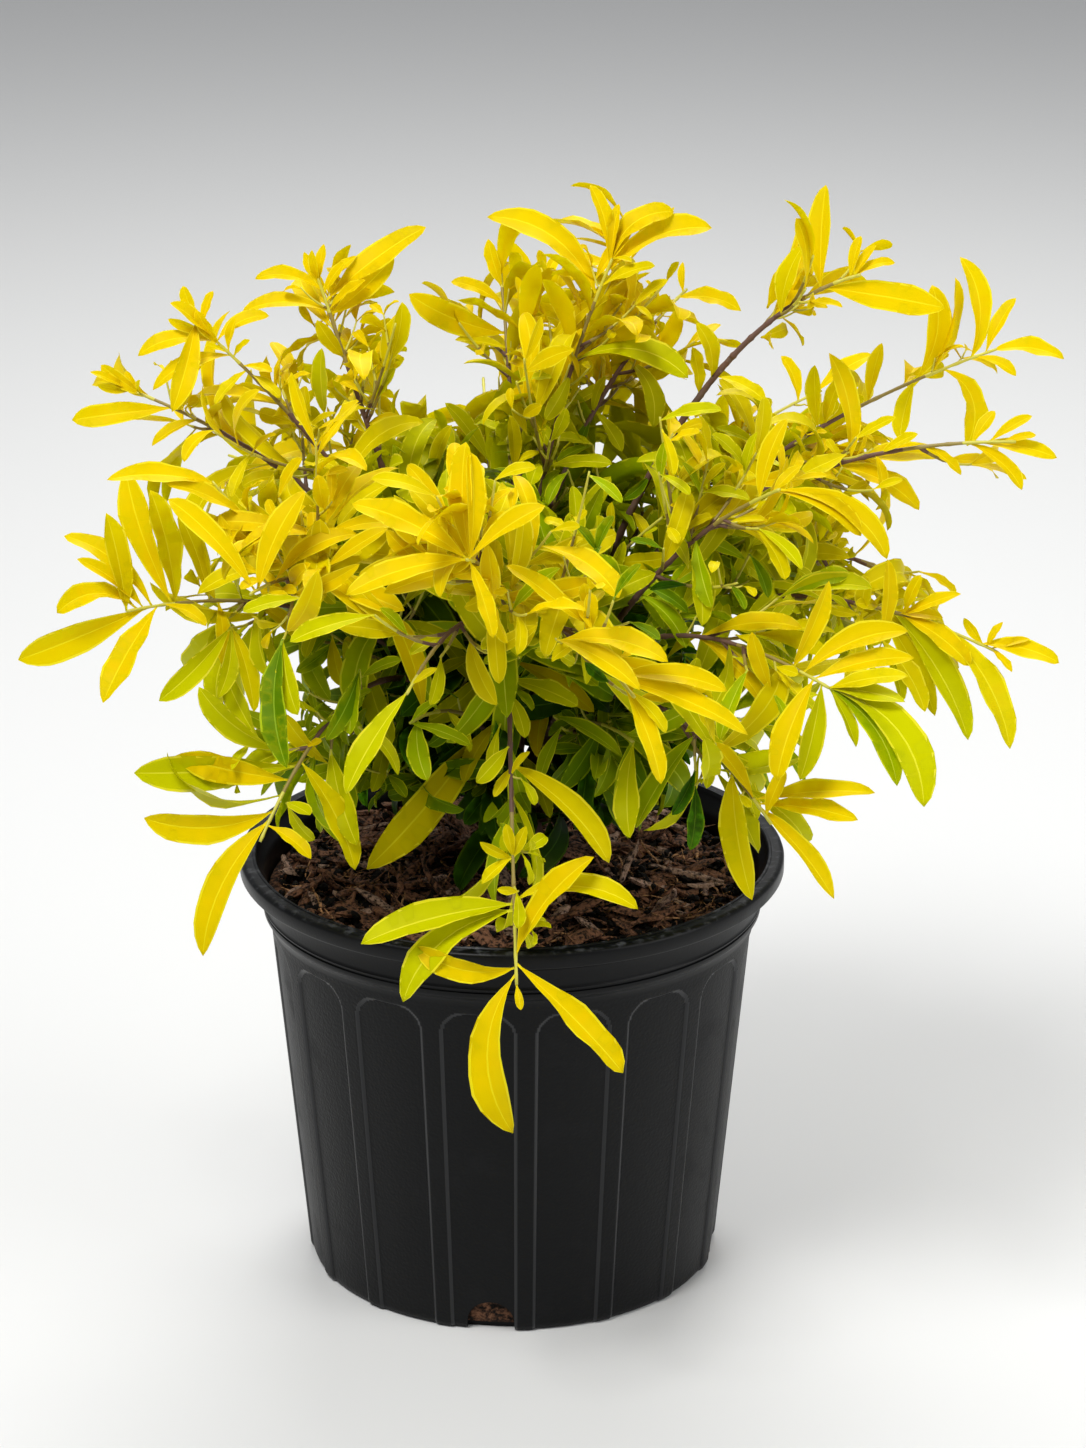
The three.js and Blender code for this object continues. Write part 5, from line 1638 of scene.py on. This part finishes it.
def make_light(settings):
    """A soft light from all round, and three broad round lamps that face the plant."""
    scene = bpy.context.scene
    world = bpy.data.worlds.new("soft_room")
    world.use_nodes = True
    background = world.node_tree.nodes["Background"]
    background.inputs["Color"].default_value = (0.93, 0.95, 1.0, 1.0)
    background.inputs["Strength"].default_value = settings.room
    scene.world = world
    scene.view_settings.view_transform = "Standard"
    for name, (spot, width) in LAMPS.items():
        light = bpy.data.lights.new(name, "AREA")
        light.shape, light.size, light.energy = "DISK", width, getattr(settings, name)
        lamp = add_object(name, light)
        lamp.location = spot
        away = np.array(spot) - np.array(LIT_PLACE)
        level = math.hypot(away[0], away[1])
        lamp.rotation_euler = (math.atan2(level, away[2]), 0, math.atan2(away[1], away[0]) + math.pi / 2)


def make_camera(settings):
    """The camera, in front of what it looks at and looking down on it."""
    lens = bpy.data.cameras.new("camera")
    lens.lens = settings.lens
    lens.sensor_width = SENSOR
    lens.clip_end = 50
    camera = add_object("camera", lens)
    distance, tilt = settings.distance, settings.elevation
    x, y, z = settings.target
    camera.location = (x, y - distance * math.cos(tilt), z + distance * math.sin(tilt))
    camera.rotation_euler = (math.pi / 2 - tilt, 0, 0)
    bpy.context.scene.camera = camera


def make_stage(settings):
    """A pale floor, soft studio light and the camera, at the photograph's angle and distance."""
    make_floor(settings)
    make_light(settings)
    make_camera(settings)


# Settings


def tone(name, description, colour):
    """A colour property whose default is a screen colour."""
    return FloatVectorProperty(name=name, description=description, subtype="COLOR", size=3, min=0, max=1,
                               default=screen(*colour)[:3])


def measure(name, description, default, least, most):
    """A length property, in metres."""
    return FloatProperty(name=name, description=description, default=default, min=least, max=most,
                         unit="LENGTH")


def fraction(name, description, default):
    """A property from 0 to 1."""
    return FloatProperty(name=name, description=description, default=default, min=0, max=1, subtype="FACTOR")


def watts(name, description, default):
    """A property for a lamp's power."""
    return FloatProperty(name=name, description=description, default=default, min=0, unit="POWER")


class PotSettings(bpy.types.PropertyGroup):
    colour: tone("Plastic", "Colour of the black plastic", (9, 10, 11))
    dust: tone("Dust", "Colour of the thin dust on the plastic", (30, 30, 31))
    # The edge colour is a painted highlight on the slopes of the panels' edges.
    edge: tone("Edges", "Colour of the worn edges of the panels", (24, 25, 27))
    # The scuff colour lightens the lip's top: partly wear and partly a painted highlight.
    scuff_and_highlight: tone("Scuffs", "Colour of the worn edge of the lip", (92, 94, 98))
    roughness: fraction("Roughness", "Roughness of the clean plastic", 0.36)
    panel_depth: measure("Panel depth", "How deep the panels are pressed in", 0.0012, 0, 0.003)


class MulchSettings(bpy.types.PropertyGroup):
    chips: IntProperty(name="Chips", description="How many large chips of bark lie on the mix", default=230,
                       min=0, max=1000)
    dark: tone("Dark", "Colour of the potting mix and of furrows", (16, 11, 7))
    brown: tone("Brown", "Colour of most of the bark", (140, 98, 72))
    grey_brown: tone("Grey brown", "Colour of the weathered bark", (184, 150, 128))
    tan: tone("Tan", "Colour of the loose fibres", (206, 154, 106))


class StemSettings(bpy.types.PropertyGroup):
    bark: tone("Bark", "Colour of the young bark", (104, 74, 62))
    patches: tone("Patches", "Colour of its weathered patches", (112, 94, 82))
    pores: tone("Pores", "Colour of its pores", (150, 128, 108))
    olive: tone("Olive", "Colour of the middle of a shoot", (150, 132, 62))
    green: tone("Green", "Colour of a shoot's tip", (206, 200, 70))


class LeafSettings(bpy.types.PropertyGroup):
    length: measure("Length", "Length of a full leaf", 0.062, 0.02, 0.12)
    width: measure("Width", "Width of a full leaf", 0.015, 0.005, 0.04)
    step: measure("Step", "Distance between pairs of leaves", 0.0155, 0.008, 0.05)
    spread: measure("Spread", "Least distance between two leaves", 0.0036, 0, 0.02)
    roughness: fraction("Roughness", "Roughness of a leaf's upper side", 0.42)
    glow: fraction("Glow", "How much light passes through a leaf", 0.35)
    gloss: fraction("Gloss", "Specular level of a leaf", 0.07)


class StageSettings(bpy.types.PropertyGroup):
    floor: tone("Floor", "Colour of the floor", (226, 226, 224))
    room: FloatProperty(name="Room", description="Strength of the light from all round", default=0.31, min=0)
    key: watts("Key", "Power of the main light", 58)
    fill: watts("Fill", "Power of the light from the right", 20)
    back: watts("Back", "Power of the light from behind", 34)
    lens: FloatProperty(name="Lens", description="Focal length in millimetres on a 36 mm sensor",
                        default=VIEW_LENS, min=10, max=400)
    distance: FloatProperty(name="Distance", description="From the camera to what it looks at",
                            default=VIEW_DISTANCE * MM, min=0.1, unit="LENGTH")
    elevation: FloatProperty(name="Elevation", description="How far down the camera looks",
                             default=VIEW_DOWN * DEGREE, subtype="ANGLE", unit="ROTATION")
    target: FloatVectorProperty(name="Target", description="What the camera looks at",
                                default=[side * MM for side in VIEW_TARGET], subtype="TRANSLATION",
                                unit="LENGTH")


# Operators, panel and registration


class DURANTA_OT_stage(bpy.types.Operator):
    """Make the pale floor, the soft light and the camera"""

    bl_idname = "duranta.make_stage"
    bl_label = "Stage"

    def execute(self, context):
        make_stage(context.scene.duranta_stage)
        return {"FINISHED"}


class DURANTA_OT_pot(bpy.types.Operator):
    """Make the black nursery pot"""

    bl_idname = "duranta.make_pot"
    bl_label = "Pot"

    def execute(self, context):
        make_pot(context.scene.duranta_pot)
        return {"FINISHED"}


class DURANTA_OT_mulch(bpy.types.Operator):
    """Make the potting mix and the bark mulch on it"""

    bl_idname = "duranta.make_mulch"
    bl_label = "Mulch"

    def execute(self, context):
        make_bed(context.scene.duranta_mulch)
        make_chips(context.scene.duranta_mulch)
        return {"FINISHED"}


class DURANTA_OT_limbs(bpy.types.Operator):
    """Make the main stem and the boughs"""

    bl_idname = "duranta.make_limbs"
    bl_label = "Stem and boughs"

    def execute(self, context):
        make_limbs(context.scene.duranta_stem, context.scene.duranta_leaf)
        return {"FINISHED"}


class DURANTA_OT_twigs(bpy.types.Operator):
    """Make the leafy shoots, side twigs and spurs"""

    bl_idname = "duranta.make_twigs"
    bl_label = "Twigs"

    def execute(self, context):
        make_twigs(context.scene.duranta_stem, context.scene.duranta_leaf)
        return {"FINISHED"}


class DURANTA_OT_leaves(bpy.types.Operator):
    """Make all the leaves"""

    bl_idname = "duranta.make_leaves"
    bl_label = "Leaves"

    def execute(self, context):
        make_leaves(context.scene.duranta_leaf)
        return {"FINISHED"}


OPERATORS = (DURANTA_OT_stage, DURANTA_OT_pot, DURANTA_OT_mulch, DURANTA_OT_limbs, DURANTA_OT_twigs,
             DURANTA_OT_leaves)
SETTINGS = {
    "duranta_stage": StageSettings,
    "duranta_pot": PotSettings,
    "duranta_mulch": MulchSettings,
    "duranta_stem": StemSettings,
    "duranta_leaf": LeafSettings,
}


class DURANTA_PT_pieces(bpy.types.Panel):
    """The pieces of the potted duranta, and the sizes and colours that they are made with"""

    bl_label = "Duranta"
    bl_idname = "DURANTA_PT_pieces"
    bl_space_type = "VIEW_3D"
    bl_region_type = "UI"
    bl_category = "Duranta"

    def draw(self, context):
        for operator in OPERATORS:
            self.layout.operator(operator.bl_idname)
        for name, group in SETTINGS.items():
            box = self.layout.box()
            for key in group.__annotations__:
                box.prop(getattr(context.scene, name), key)


def register():
    for group in SETTINGS.values():
        bpy.utils.register_class(group)
    for name, group in SETTINGS.items():
        setattr(bpy.types.Scene, name, PointerProperty(type=group))
    for cls in OPERATORS + (DURANTA_PT_pieces,):
        bpy.utils.register_class(cls)


def unregister():
    for cls in (DURANTA_PT_pieces,) + OPERATORS[::-1]:
        bpy.utils.unregister_class(cls)
    for name in SETTINGS:
        delattr(bpy.types.Scene, name)
    for group in SETTINGS.values():
        bpy.utils.unregister_class(group)


def main():
    register()
    for operator in OPERATORS:
        group, name = operator.bl_idname.split(".")
        getattr(getattr(bpy.ops, group), name)()


if __name__ == "__main__":
    main()
